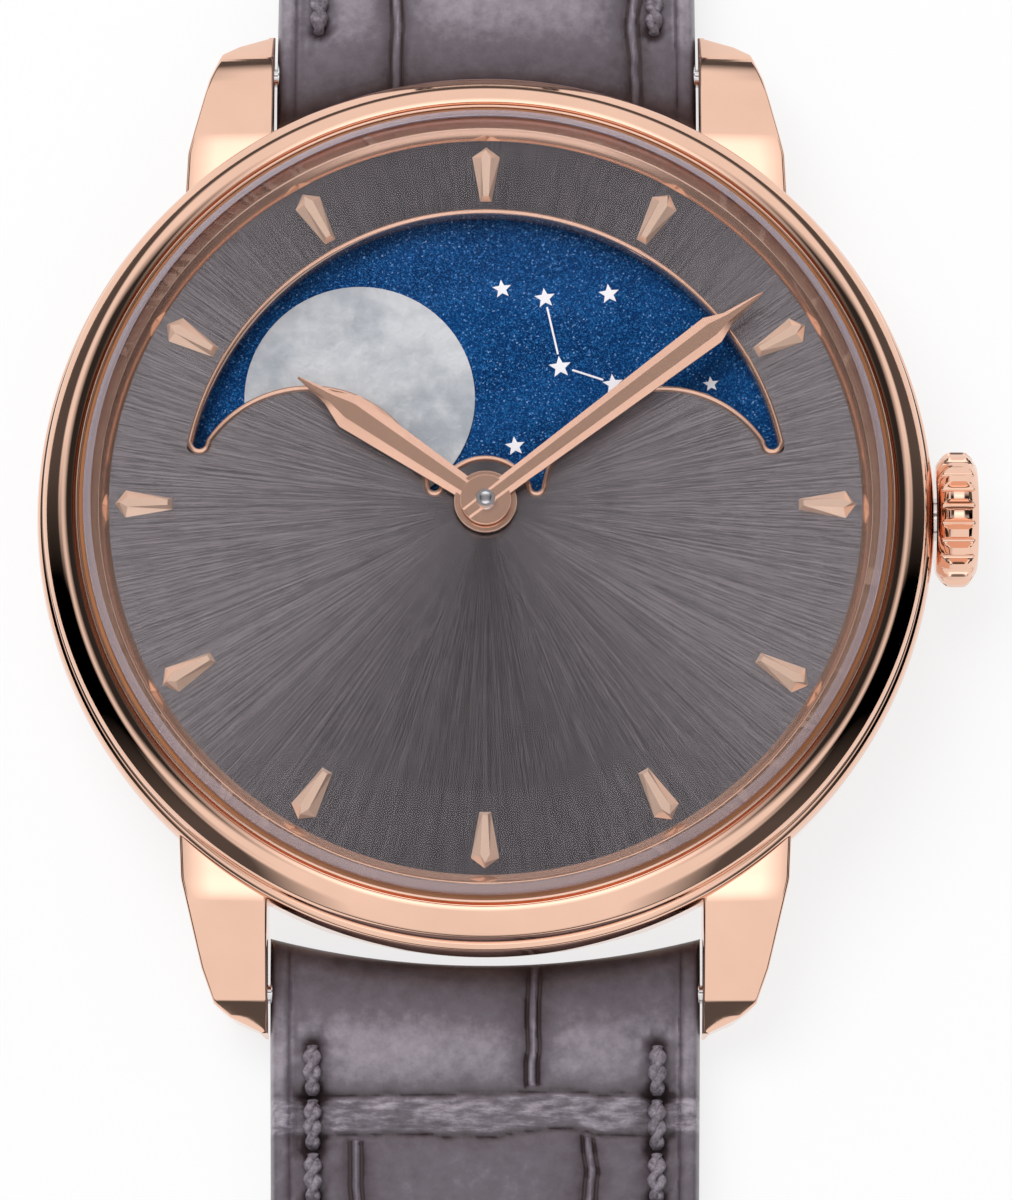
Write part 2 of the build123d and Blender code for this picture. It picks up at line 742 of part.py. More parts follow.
def window_face():
    """The crescent window: a round field less two lobes and the hub, with horns that end in round tips."""
    size = 2 * window_radius
    face = Circle(window_radius) - Circle(window_hub_radius)
    for side in (-1, 1):
        face -= Pos(side * lobe_offset, 0) * Circle(lobe_radius)
    face -= Rectangle(size, size, align=(Align.CENTER, Align.MAX))
    below_outer = Rectangle(size, outer_horn_height, align=(Align.MIN, Align.MIN))
    face -= Pos(lobe_offset, 0) * below_outer
    face -= Pos(-lobe_offset - size, 0) * below_outer
    face -= Rectangle(2 * lobe_offset, inner_horn_height, align=(Align.CENTER, Align.MIN))
    tips = [v for v in face.vertices() if v.Y < outer_horn_height + seat_gap]
    return fillet(tips, horn_round)


def dial():
    """The dial plate, with its centre hole and its window."""
    body = washer(dial_radius, dial_hole_radius, dial_seat, dial_top)
    return body - Pos(0, 0, dial_seat - overrun) * extrude(window_face(), dial_thickness + 2 * overrun)


def aperture_frame():
    """The raised frame that lines the dial's window."""
    low = dial_seat - frame_skirt
    outline = window_face()
    mouth = offset(outline, -frame_width)
    frame = Pos(0, 0, low) * extrude(outline, frame_top - low)
    return frame - Pos(0, 0, low - overrun) * extrude(mouth, frame_top - low + 2 * overrun)


def hour_markers():
    """Twelve kites, pointed outwards, each with a bevel round a narrow flat."""
    tip = marker_tip_radius
    shoulder = tip - marker_shoulder_back
    end = tip - marker_length
    low_points = [
        (0, tip),
        (marker_width / 2, shoulder),
        (marker_end_width / 2, end),
        (-marker_end_width / 2, end),
        (-marker_width / 2, shoulder),
    ]
    high_points = [
        (0, tip - marker_bevel),
        (marker_flat_width / 2, shoulder - marker_bevel / 2),
        (marker_flat_end_width / 2, end + marker_bevel),
        (-marker_flat_end_width / 2, end + marker_bevel),
        (-marker_flat_width / 2, shoulder - marker_bevel / 2),
    ]
    marker = facetted(low_points, high_points, dial_top, marker_top)
    return Compound([Rot(0, 0, 360 * n / marker_count) * marker for n in range(marker_count)])


def hand(stations, low, hub_radius, hole_radius, angle):
    """A hand: a bevelled bar through its stations (distance from the centre, width), on a round hub."""
    lower = [(width / 2, distance) for distance, width in stations]
    lower += [(-width / 2, distance) for distance, width in reversed(stations)]
    upper = [(x * hand_flat_share, y) for x, y in lower]
    bar = facetted(lower, upper, low, low + hand_thickness)
    body = bar + disc(hub_radius, low, low + hub_thickness)
    return Rot(0, 0, -angle) * (body - disc(hole_radius, low - overrun, low + hand_thickness + overrun))


def hour_hand():
    """The hour hand, pressed on the hour wheel's pipe."""
    stations = [
        (0, hour_arm_width),
        (hour_shoulder_distance, hour_shoulder_width),
        (hour_neck_distance, hour_neck_width),
        (hour_hand_length, hour_hand_tip_width),
    ]
    return hand(stations, hour_hand_low, hour_hub_radius, hour_pipe_radius, hour_angle)


def minute_hand():
    """The minute hand, pressed on the cannon pinion."""
    stations = [
        (0, minute_arm_width),
        (minute_shoulder_distance, minute_shoulder_width),
        (minute_neck_distance, minute_neck_width),
        (minute_hand_length, minute_hand_tip_width),
    ]
    return hand(stations, minute_hand_low, minute_hub_radius, cannon_radius, minute_angle)


def moon_disc():
    """The sky disc, with the 59 teeth of its wheel under it and a hole for the hour wheel's pipe."""
    body = disc(moon_disc_radius, moon_disc_low, moon_disc_top)
    body += toothed(moon_teeth, moon_module, moon_wheel_low, moon_disc_low, centre, moon_phase)
    return body - disc(moon_hole_radius, moon_wheel_low - overrun, moon_disc_top + overrun)


def moons():
    """Two thin shell discs on opposite sides of the sky disc."""
    top = moon_disc_top + moon_thickness
    places = [polar(moon_track_radius, moon_angle + turn) for turn in (0, 180)]
    return Compound([disc(moon_radius, moon_disc_top, top, place) for place in places])


# How the wheels point, so that each pair is in mesh as the watch lies
minute_pinion_phase = heading(minute_wheel_place, centre)
cannon_phase = heading(centre, minute_wheel_place)
minute_wheel_phase = mesh_phase(cannon_teeth, cannon_phase, cannon_phase, minute_wheel_teeth)
hour_phase = mesh_phase(minute_pinion_teeth, minute_pinion_phase, minute_pinion_phase, hour_teeth)
to_day = heading(minute_wheel_place, day_place)
day_phase = mesh_phase(minute_pinion_teeth, minute_pinion_phase, to_day, day_teeth)
to_step = heading(day_place, step_place)
step_phase = mesh_phase(day_pinion_teeth, to_step, to_step, step_teeth)
to_moon = heading(step_place, centre)
moon_phase = mesh_phase(step_pinion_teeth, to_moon, to_moon, moon_teeth)
to_centre = heading(barrel_place, centre)
centre_pinion_phase = mesh_phase(barrel_teeth, to_centre, to_centre, centre_pinion_teeth)
to_third = heading(centre, third_place)
third_pinion_phase = mesh_phase(centre_teeth, to_third, to_third, third_pinion_teeth)
to_fourth = heading(third_place, fourth_place)
fourth_pinion_phase = mesh_phase(third_teeth, to_fourth, to_fourth, fourth_pinion_teeth)
to_escape = heading(fourth_place, escape_place)
escape_pinion_phase = mesh_phase(fourth_teeth, to_escape, to_escape, escape_pinion_teeth)
to_ratchet = heading(crown_wheel_place, barrel_place)
ratchet_phase = mesh_phase(crown_wheel_teeth, to_ratchet, to_ratchet, ratchet_teeth)


def cannon_pinion():
    """The friction-fitted tube that carries the minute hand, and ends in the polished centre pin."""
    low = minute_wheel_low
    body = toothed(cannon_teeth, cannon_module, low, low + wheel_thickness, centre, cannon_phase)
    body += disc(cannon_radius, low, minute_hand_low + hub_thickness)
    body += disc(centre_pin_radius, minute_hand_low, centre_pin_top)
    return body - disc(centre_arbor_radius, low - overrun, dial_seat)


def minute_wheel():
    """The wheel that the cannon pinion drives, with the pinion for the hour wheel and the day wheel."""
    place = minute_wheel_place
    body = toothed(
        minute_wheel_teeth, cannon_module, minute_wheel_low, minute_wheel_low + wheel_thickness, place,
        minute_wheel_phase,
    )
    top = hour_wheel_low + wheel_thickness
    body += toothed(minute_pinion_teeth, hour_module, minute_wheel_low, top, place, minute_pinion_phase)
    return body + pivot(arbor_radius, plate_top - pivot_depth, top, place)


def hour_wheel():
    """The hour wheel, whose pipe turns on the cannon pinion and carries the hour hand."""
    top = hour_hand_low + hub_thickness
    wheel_top = hour_wheel_low + wheel_thickness
    body = toothed(hour_teeth, hour_module, hour_wheel_low, wheel_top, centre, hour_phase)
    body += disc(hour_pipe_radius, hour_wheel_low, top)
    return body - disc(cannon_radius + running_gap, hour_wheel_low - overrun, top + overrun)


def day_wheel():
    """The moon work's first wheel, which turns once in 24 hours."""
    place = day_place
    wheel_top = hour_wheel_low + wheel_thickness
    body = toothed(day_teeth, hour_module, hour_wheel_low, wheel_top, place, day_phase)
    top = step_wheel_low + wheel_thickness
    body += toothed(day_pinion_teeth, step_module, hour_wheel_low, top, place, to_step)
    return body + pivot(arbor_radius, plate_top - pivot_depth, top, place)


def step_wheel():
    """The moon work's second wheel, whose pinion drives the sky disc."""
    place = step_place
    top = moon_disc_low - level_gap
    wheel_top = step_wheel_low + wheel_thickness
    body = toothed(step_teeth, step_module, step_wheel_low, wheel_top, place, step_phase)
    body += toothed(step_pinion_teeth, moon_module, moon_wheel_low, top, place, to_moon)
    return body + pivot(arbor_radius, plate_top - pivot_depth, top, place)


def casing_ring():
    """The ring that centres the movement in the case and holds up the dial."""
    low = back_height + back_gasket_height + casing_ring_lift
    body = turned(
        [
            (plate_radius + seat_gap, low),
            (dial_radius, low),
            (dial_radius, dial_seat),
            (plate_radius + seat_gap, dial_seat),
        ]
    )
    return body - rod(stem_radius + sliding_gap, 0, case_radius, stem_height)


arbor_places = [third_place, fourth_place, escape_place, pallet_place, balance_place]
post_places = [minute_wheel_place, day_place, step_place]


def main_plate():
    """The plate that carries the movement, with pivot holes and the channel for the stem."""
    body = disc(plate_radius, plate_low, plate_top)
    for place in arbor_places + post_places:
        body -= disc(arbor_radius + running_gap, plate_low - overrun, plate_top + overrun, place)
    body -= disc(centre_arbor_radius + running_gap, plate_low - overrun, plate_top + overrun)
    pivot_top = plate_low + pivot_depth
    body -= disc(barrel_arbor_radius + running_gap, plate_low - overrun, pivot_top, barrel_place)
    for place in bridge_screw_places():
        body -= disc(screw_radius, plate_low - overrun, plate_low + screw_grip, place)
    half = stem_channel_width / 2
    channel_top = stem_height + half
    channel_start = (stem_inner_end - overrun, -half, plate_low - overrun)
    body -= block(channel_start, (plate_radius + overrun, half, channel_top))
    pinion_room = winding_pinion_radius + sliding_gap
    start = winding_pinion_start - sliding_gap
    end = winding_pinion_start + winding_pinion_length + crown_pull + sliding_gap
    return body - block(
        (start, -pinion_room, plate_low - overrun), (end, pinion_room, plate_top + overrun)
    )


def barrel_bridge_outline():
    """Corners of the upper bridge, along the seam that parts it from the train bridge."""
    reach = bridge_radius * seam_reach_share
    return [
        (-reach, bridge_radius * seam_left_share),
        (finger_width, bridge_radius * seam_middle_share),
        (crown_wheel_distance * seam_bend_shares[0], -bridge_radius * seam_bend_shares[1]),
        (crown_wheel_distance * seam_right_shares[0], -bridge_radius * seam_right_shares[1]),
        (reach, -bridge_radius * seam_right_shares[1]),
        (reach, reach),
        (-reach, reach),
    ]


def barrel_bridge_screws():
    """Places of the screws of the barrel bridge."""
    reach = bridge_radius - 2 * screw_head_radius
    return [polar(reach, direction) for direction in barrel_screw_directions]


def train_bridge_screws():
    """Places of the screws of the train bridge."""
    reach = bridge_radius - 2 * screw_head_radius
    return [polar(reach, direction) for direction in train_screw_directions]


def cock_screws():
    """Place of the balance cock's screw."""
    return [polar(bridge_radius - 2 * screw_head_radius, cock_direction)]


def bridge_screw_places():
    """Places of all the bridge screws."""
    return barrel_bridge_screws() + train_bridge_screws() + cock_screws()


def screw_holes(places, low, high):
    """Holes for the shanks of screws."""
    return [disc(screw_radius, low - overrun, high + overrun, place) for place in places]


def bridge_foot(place):
    """A round foot that carries a bridge on the plate, at a screw."""
    return disc(bridge_foot_radius, bridge_top, plate_low, place)


def barrel_bridge():
    """The bridge over the barrel, on which the winding wheels turn."""
    outline = Pos(0, 0, bridge_low) * extrude(
        make_face(Polyline(*barrel_bridge_outline(), close=True)), bridge_thickness
    )
    body = outline & disc(bridge_radius, bridge_low, bridge_top)
    body -= disc(balance_clear, bridge_low - overrun, bridge_top + overrun, balance_place)
    for place in barrel_bridge_screws():
        body += bridge_foot(place)
    for hole in screw_holes(barrel_bridge_screws(), bridge_low, plate_low):
        body -= hole
    for place in (barrel_place, crown_wheel_place):
        body -= disc(barrel_arbor_radius + running_gap, bridge_low - overrun, bridge_top + overrun, place)
    stud, _ = click_places()
    body -= disc(screw_radius + running_gap, bridge_low - overrun, bridge_low + pivot_depth, stud)
    return body - disc(screw_radius, bridge_low - overrun, bridge_low + pivot_depth, click_spring_end())


def train_bridge():
    """The bridge of the going train: a rim with a finger to each arbor, so the wheels show between them."""
    rim = washer(bridge_radius, bridge_rim_radius, bridge_low, bridge_top)
    sector = [polar(2 * bridge_radius, direction) for direction in train_sector_directions]
    body = rim & plate([centre] + sector, bridge_low, bridge_top)
    ends = [centre, third_place, fourth_place, escape_place]
    for end, direction in zip(ends, finger_directions):
        body += finger(polar(bridge_rim_radius, direction), end, finger_width, bridge_low, bridge_top)
    for place in train_bridge_screws():
        body += bridge_foot(place)
    for hole in screw_holes(train_bridge_screws(), bridge_low, plate_low):
        body -= hole
    for place in ends:
        body -= disc(jewel_radius, bridge_low - overrun, bridge_top + overrun, place)
    return body


def balance_cock():
    """The arm that holds the balance's upper jewel, on a foot at the rim."""
    foot_place = cock_screws()[0]
    high = bridge_low + cock_thickness
    body = finger(foot_place, balance_place, cock_width, bridge_low, high)
    body += disc(cock_width / 2 + screw_radius, bridge_low, high, foot_place)
    body += disc(bridge_foot_radius, high, plate_low, foot_place)
    body -= disc(screw_radius, bridge_low - overrun, plate_low + overrun, foot_place)
    return body - disc(jewel_radius, bridge_low - overrun, high + overrun, balance_place)


def pallet_bridge():
    """The small bridge over the pallet arbor, on two feet beside the fork."""
    turns = (pallet_bridge_turn, -pallet_bridge_turn)
    ends = [shifted(pallet_place, polar(pallet_bridge_reach, escape_line + turn)) for turn in turns]
    body = finger(ends[0], pallet_place, pallet_bridge_width, pallet_bridge_low, pallet_bridge_top)
    body += finger(pallet_place, ends[1], pallet_bridge_width, pallet_bridge_low, pallet_bridge_top)
    for end in ends:
        body += disc(pallet_bridge_width / 2, pallet_bridge_low, plate_low, end)
    hole = arbor_radius + running_gap
    return body - disc(hole, pallet_bridge_low - overrun, pallet_bridge_top + overrun, pallet_place)


def screw(place, seat, head_radius, head_height, shank_radius, shank_end, slot_turn):
    """A cheese-head screw with a slot, its head under its seat."""
    head = disc(head_radius, seat - head_height, seat, place)
    slot = Rectangle(4 * head_radius, screw_slot_width)
    cut = Rot(0, 0, slot_turn) * extrude(slot, screw_slot_depth + overrun)
    head -= Pos(place[0], place[1], seat - head_height - overrun) * cut
    return head + disc(shank_radius, seat, shank_end, place)


def bridge_screws():
    """The screws that hold the bridges to the plate."""
    screws = []
    for number, place in enumerate(bridge_screw_places()):
        end = plate_low + screw_grip
        turn = screw_slot_turn * number
        screws.append(
            screw(place, bridge_low, screw_head_radius, screw_head_height, screw_radius, end, turn)
        )
    return Compound(screws)


def jewels():
    """The ruby bearings of the train and of the balance, set flush in the bridges."""
    places = [centre, third_place, fourth_place, escape_place, balance_place]
    return Compound([disc(jewel_radius, bridge_low, jewel_top, place) for place in places])


def barrel():
    """The barrel: a closed drum with its teeth, which holds the mainspring."""
    pitch_radius = barrel_teeth * barrel_module / 2
    body = disc(pitch_radius * barrel_drum_share, barrel_low, barrel_low + barrel_thickness, barrel_place)
    tooth_top = barrel_tooth_low + barrel_tooth_height
    body += toothed(barrel_teeth, barrel_module, barrel_tooth_low, tooth_top, barrel_place, to_centre)
    hole = barrel_arbor_radius + running_gap
    return body - disc(hole, barrel_low - overrun, barrel_low + barrel_thickness + overrun, barrel_place)


def ratchet_wheel():
    """The ratchet wheel, on the barrel bridge, with the barrel arbor's square under its screw."""
    body = toothed(ratchet_teeth, winding_module, winding_low, winding_top, barrel_place, ratchet_phase)
    return body - disc(barrel_arbor_radius, winding_low - overrun, winding_top + overrun, barrel_place)


def barrel_arbor():
    """The arbor on which the barrel turns, and which the ratchet wheel winds."""
    return disc(barrel_arbor_radius, winding_low, plate_low + pivot_depth, barrel_place)


def crown_wheel():
    """The crown wheel: a toothed wheel over the bridge and a contrate ring under it, on one arbor."""
    place = crown_wheel_place
    body = toothed(crown_wheel_teeth, winding_module, winding_low, winding_top, place, to_ratchet)
    low = contrate_top - contrate_thickness
    module = 2 * contrate_radius / crown_wheel_teeth
    body += toothed(crown_wheel_teeth, module, low, contrate_top, place)
    return body + disc(barrel_arbor_radius, winding_low, contrate_top, place)


def winding_pinion():
    """The toothed roller on the stem that turns the crown wheel."""
    tip_module = 2 * winding_pinion_radius / (winding_pinion_teeth + 2 * tooth_rise_share)
    face = toothed_face(winding_pinion_teeth, tip_module)
    body = Pos(winding_pinion_start, 0, stem_height) * Rot(0, 90, 0) * extrude(face, winding_pinion_length)
    return body - rod(stem_radius, stem_inner_end - overrun, case_radius, stem_height)


def winding_stem():
    """The stem, with the groove in which the setting lever's pin rides."""
    groove_start = stem_groove_place - stem_groove_width / 2
    groove_end = groove_start + stem_groove_width
    body = rod(stem_radius, stem_inner_end, groove_start, stem_height)
    body += rod(stem_groove_radius, groove_start, groove_end, stem_height)
    return body + rod(stem_radius, groove_end, stem_end, stem_height)


def setting_lever():
    """The lever whose pin holds the stem and travels with it when the crown is pulled."""
    top = plate_low - seat_gap
    low = top - lever_thickness
    pin_place = (stem_groove_place, 0)
    body = finger(pin_place, (stem_groove_place - lever_radius, lever_length), 2 * lever_radius, low, top)
    pin_top = stem_height - stem_groove_radius - running_gap
    return body + disc(lever_pin_radius, low, pin_top, pin_place)


def crown_tube():
    """The tube pressed into the case, on which the crown runs."""
    start = middle_bore_radius + seat_gap
    end = case_radius + tube_stand
    body = rod(tube_radius, start, end, stem_height)
    return body - rod(tube_radius - tube_wall, start - overrun, end + overrun, stem_height)


def crown():
    """The fluted crown: ridges cut round a turned body, each ending in a point, and a raised face."""
    points = []
    for ridge in range(crown_flute_count):
        middle = 2 * pi * ridge / crown_flute_count
        half = crown_flute_top_share * pi / crown_flute_count
        for radius, angle in (
            (crown_radius, middle - half),
            (crown_radius, middle + half),
            (crown_radius - crown_flute_depth, middle + pi / crown_flute_count),
        ):
            points.append((radius * cos(angle), radius * sin(angle)))
    ridges = extrude(make_face(Polyline(*points, close=True)), crown_length)
    root = crown_radius - crown_flute_depth
    envelope = turned(
        [
            (0, 0),
            (root, 0),
            (crown_radius, crown_end_slope),
            (crown_radius, crown_length - crown_end_slope),
            (crown_face_radius, crown_length),
            (0, crown_length),
        ]
    )
    body = (ridges & envelope) + disc(crown_face_radius, crown_length, crown_length + crown_dome)
    body -= disc(crown_hollow_radius, -overrun, crown_hollow_depth)
    body -= disc(stem_radius, -overrun, crown_hollow_depth + crown_stem_grip)
    return Pos(case_radius + crown_standoff, 0, stem_height) * Rot(0, 90, 0) * body


def click_places():
    """The click's pivot, and the point of its beak at the ratchet wheel's teeth."""
    tip = ratchet_teeth * winding_module / 2 + tooth_rise_share * winding_module + seat_gap
    stud = shifted(barrel_place, polar(tip + click_reach, click_direction))
    beak_direction = click_direction - click_beak_lead
    beak = shifted(barrel_place, polar(tip + click_radius * click_beak_share, beak_direction))
    return stud, beak


def click():
    """The pawl that stops the ratchet wheel from turning back."""
    stud, beak = click_places()
    body = pivot(click_radius, winding_low, winding_top, stud)
    body += finger(stud, beak, click_radius * click_arm_share, winding_low, winding_top)
    return body + disc(screw_radius, winding_top, bridge_low + pivot_depth, stud)


def click_spring_touch():
    """Where the click's spring bears on the click."""
    stud, _ = click_places()
    reach = click_radius + seat_gap + click_spring_width / 2
    return shifted(stud, polar(reach, click_direction + click_spring_touch_turn))


def click_spring_end():
    """Where the click's spring is fixed."""
    return shifted(click_spring_touch(), polar(click_spring_length, click_direction - click_spring_turn))


def click_spring():
    """The wire that presses the click home, held by a stud in the bridge."""
    touch, end = click_spring_touch(), click_spring_end()
    body = finger(touch, end, click_spring_width, winding_low, winding_top)
    return body + disc(screw_radius, winding_low, bridge_low + pivot_depth, end)


def centre_wheel():
    """The centre wheel, with its pinion and the arbor that carries the cannon pinion."""
    pinion_top = barrel_tooth_low + barrel_tooth_height
    body = spoked(centre_teeth, centre_module, centre_wheel_low, centre, to_third, 4)
    body += toothed(
        centre_pinion_teeth, barrel_module, barrel_tooth_low, pinion_top, centre, centre_pinion_phase
    )
    return body + disc(centre_arbor_radius, arbor_low, dial_seat)


def train_wheel(teeth, module, low, phase, pinion_teeth, pinion_module, pinion_low, pinion_top, pinion_phase,
                place, spokes):
    """A wheel of the going train on its arbor, with its pinion."""
    body = spoked(teeth, module, low, place, phase, spokes)
    body += toothed(pinion_teeth, pinion_module, pinion_low, pinion_top, place, pinion_phase)
    return body + disc(arbor_radius, arbor_low, plate_low + pivot_depth, place)


def third_wheel():
    """The third wheel: its pinion meshes with the centre wheel."""
    return train_wheel(
        third_teeth, third_module, third_wheel_low, to_fourth,
        third_pinion_teeth, centre_module, centre_wheel_low - level_gap, plate_low - level_gap / 2,
        third_pinion_phase, third_place, 4,
    )


def fourth_wheel():
    """The fourth wheel, which turns once a minute: its pinion meshes with the third wheel."""
    return train_wheel(
        fourth_teeth, fourth_module, fourth_wheel_low, to_escape,
        fourth_pinion_teeth, third_module, third_wheel_low - level_gap / 2, fourth_wheel_low,
        fourth_pinion_phase, fourth_place, 4,
    )


def escape_wheel():
    """The escape wheel: fifteen hooked teeth on a thin rim, and its pinion."""
    points = []
    for tooth in range(escape_tooth_count):
        start = 2 * pi * tooth / escape_tooth_count
        pitch = 2 * pi / escape_tooth_count
        root = escape_radius - escape_tooth_depth
        for radius, share in ((root, 0), (escape_radius, escape_hook_share), (root, escape_hook_share)):
            angle = start + share * pitch
            points.append((radius * cos(angle), radius * sin(angle)))
    low = escape_wheel_low
    high = low + wheel_thickness
    blank = Pos(escape_place[0], escape_place[1], low)
    body = blank * extrude(make_face(Polyline(*points, close=True)), wheel_thickness)
    body -= disc(escape_radius * escape_rim_share, low - overrun, high + overrun, escape_place)
    for spoke in range(escape_spoke_count):
        direction = 360 * spoke / escape_spoke_count + escape_spoke_turn
        end = shifted(escape_place, polar(escape_radius * escape_spoke_share, direction))
        body += finger(escape_place, end, spoke_width, low, high)
    body += toothed(
        escape_pinion_teeth, fourth_module, fourth_wheel_low - level_gap, low, escape_place, escape_pinion_phase
    )
    return body + disc(arbor_radius, arbor_low, plate_low + pivot_depth, escape_place)


def pallet_fork():
    """The lever: two stones that reach round the escape wheel, and a fork that embraces the impulse pin."""
    low = escape_wheel_low
    high = low + wheel_thickness
    body = disc(spoke_width, low, high, pallet_place)
    stone_tip = escape_radius + seat_gap + pallet_stone_width
    for side in (-1, 1):
        direction = escape_line + side * pallet_span / 2
        stone = shifted(escape_place, polar(stone_tip, direction))
        body += finger(pallet_place, stone, pallet_arm_width, low, high)
    notch = polar(fork_length - fork_notch_depth, escape_line)
    fork_end = shifted(pallet_place, polar(fork_length - fork_width / 2, escape_line))
    body += finger(pallet_place, fork_end, pallet_arm_width, low, high)
    body += disc(fork_width / 2, low, high, fork_end)
    gap_end = shifted(pallet_place, polar(fork_length + fork_width, escape_line))
    body -= finger(shifted(pallet_place, notch), gap_end, fork_notch_width, low - overrun, high + overrun)
    return body + disc(arbor_radius, pallet_bridge_low, plate_low + pivot_depth, pallet_place)


def balance_wheel():
    """The balance: a heavy rim on one bar, its staff, and the roller with the impulse pin."""
    high = balance_low + balance_thickness
    inner = balance_radius - balance_rim_width
    place = balance_place
    body = washer(balance_radius, inner, balance_low, high, place)
    for turn in (0, 180):
        end = shifted(place, polar(inner + balance_rim_width / 2, escape_line + balance_arm_turn + turn))
        body += finger(place, end, balance_arm_width, balance_low, high)
    body += disc(collet_radius, hairspring_low, high, place)
    body += disc(roller_radius, roller_low, roller_low + wheel_thickness, place)
    pin_place = shifted(place, polar(-impulse_pin_offset, escape_line))
    body += disc(impulse_pin_radius, escape_wheel_low, roller_low, pin_place)
    return body + disc(staff_radius, arbor_low, plate_low + pivot_depth, place)


def hairspring():
    """The balance spring: a flat spiral of straight steps, from the collet outwards."""
    sides = []
    for edge in (-hairspring_width / 2, hairspring_width / 2):
        points = []
        for step in range(hairspring_turns * hairspring_steps + 1):
            turn = step / hairspring_steps
            points.append(polar(hairspring_start_radius + hairspring_pitch * turn + edge, 360 * turn))
        sides.append(points)
    outline = Polyline(*sides[0], *reversed(sides[1]), close=True)
    spiral = extrude(make_face(outline), hairspring_height)
    return Pos(balance_place[0], balance_place[1], hairspring_low) * spiral


def case_back():
    """The screwed case back: a ring with a flat face to rest on, and notches for its key."""
    window_edge = back_window_radius
    body = turned(
        [
            (window_edge, 0),
            (back_radius - back_chamfer, 0),
            (back_radius, back_height),
            (window_edge, back_height),
        ]
    )
    notch_start = back_radius - back_notch_length
    for number in range(back_notch_count):
        notch = block(
            (notch_start, -back_notch_width / 2, -overrun), (case_radius, back_notch_width / 2, back_notch_depth)
        )
        body -= Rot(0, 0, 360 * (number + 0.5) / back_notch_count) * notch
    return body


def case_back_crystal():
    """The window of the case back, set in the ring a little above the table."""
    top = back_window_lift + back_window_thickness
    return disc(back_window_radius - seat_gap, back_window_lift, top)


def case_back_gasket():
    """The seal that lies on the case back, against the case middle's bore."""
    hole = middle_bore_radius - back_gasket_width
    return washer(middle_bore_radius, hole, back_height, back_height + back_gasket_height)


def spring_bars():
    """The two spring bars: a tube with a pin at each end that goes into the lugs."""
    bars = []
    body_end = strap_width / 2
    pin_end = lug_gap / 2 + bar_pin_length
    for side in (-bar_place, bar_place):
        bar = rod(bar_radius, -body_end, body_end, bar_height, side)
        bars.append(bar + rod(bar_pin_radius, -pin_end, pin_end, bar_height, side))
    return Compound(bars)


def strap_section(y, width, low, height):
    """A cross-section of the strap: flat below, upright edges and a padded top with sloping shoulders."""
    half = width / 2
    corners = [(half, 0), (half, strap_edge_share)]
    corners += [(half * crown_share, 1 - strap_shoulder_share), (0, 1)]
    right = [(x, y, low + share * height) for x, share in corners]
    left = [(-x, y, z) for x, y, z in reversed(right[:-1])]
    return right + left


def strap_half(sections, nose_curve):
    """A strap half through its sections (distance from the bar, width, underside, height), its end hollow."""
    body = skinned([strap_section(bar_place + distance, *sizes) for distance, *sizes in sections])
    hollow_middle = bar_place - strap_nose_middle - nose_curve
    body -= disc(nose_curve, -overrun, strap_padded_height + 2 * overrun, (0, hollow_middle))
    hole = bar_radius + hinge_gap
    return body - rod(hole, -strap_width, strap_width, bar_height, bar_place)


def strap_sections(length, end_width, rest_height):
    """Sections shared by both halves, from the nose past the bar to where the padding ends."""
    nose_height = strap_padded_height * strap_nose_share
    bar_low = bar_height - strap_padded_height / 2
    padded = strap_padding_length / length
    flat_width = strap_width + (end_width - strap_width) * padded
    return [
        (-strap_nose_length, strap_width, bar_height - nose_height / 2, nose_height),
        (-strap_nose_middle * strap_rise_share, strap_width, bar_low, strap_padded_height),
        (strap_nose_length, strap_width, bar_low, strap_padded_height),
        (strap_padding_length, flat_width, rest_height, strap_flat_height),
    ]


def strap_short():
    """The half towards 12 o'clock, which ends in a loop round the buckle's bar."""
    sections = strap_sections(short_length, strap_end_width, short_rest_height)
    loop_low = buckle_axis_height - loop_height / 2
    loop_end = short_length + loop_height / 2
    sections.append((short_length - loop_height, strap_end_width, short_rest_height, strap_flat_height))
    sections.append((short_length, strap_end_width, loop_low, loop_height))
    sections.append((loop_end, strap_end_width, buckle_axis_height - loop_height / 4, loop_height / 2))
    body = strap_half(sections, strap_nose_curve)
    axis_place = bar_place + short_length
    body -= rod(buckle_bar_radius + hinge_gap, -strap_width, strap_width, buckle_axis_height, axis_place)
    half = tongue_slot_width / 2
    start = axis_place - tongue_slot_length / 2
    return body - block((-half, start, -overrun), (half, axis_place + loop_height, 2 * strap_padded_height))


def strap_long():
    """The half towards 6 o'clock, with its row of holes and its pointed tip."""
    sections = strap_sections(long_length, strap_end_width, 0)
    sections.append((long_length - strap_tip_length, strap_end_width, 0, strap_flat_height))
    sections.append((long_length, strap_tip_width, 0, strap_flat_height * strap_tip_share))
    body = strap_half(sections, strap_nose_curve)
    for number in range(strap_hole_count):
        place = bar_place + long_length - strap_hole_first - number * strap_hole_pitch
        body -= disc(strap_hole_radius, -overrun, strap_padded_height + overrun, (0, place))
    return mirror(body, Plane.XZ)


def keeper(distance, slack):
    """A leather loop round the short half, with room over it for the long half."""
    inner = (strap_end_width + keeper_extra_width) / 2 + slack
    low = short_rest_height - slack
    high = short_rest_height + strap_flat_height + keeper_strap_room
    wall = keeper_wall
    start = bar_place + short_length - distance - keeper_length
    end = start + keeper_length
    outside = block((-inner - wall, start, low - wall), (inner + wall, end, high + wall))
    inside = block((-inner, start - overrun, low), (inner, end + overrun, high))
    return outside - inside


def fixed_keeper():
    """The keeper sewn to the strap beside the buckle."""
    return keeper(fixed_keeper_place, sliding_gap)


def loose_keeper():
    """The keeper that slides along the strap."""
    return keeper(loose_keeper_place, sliding_gap)


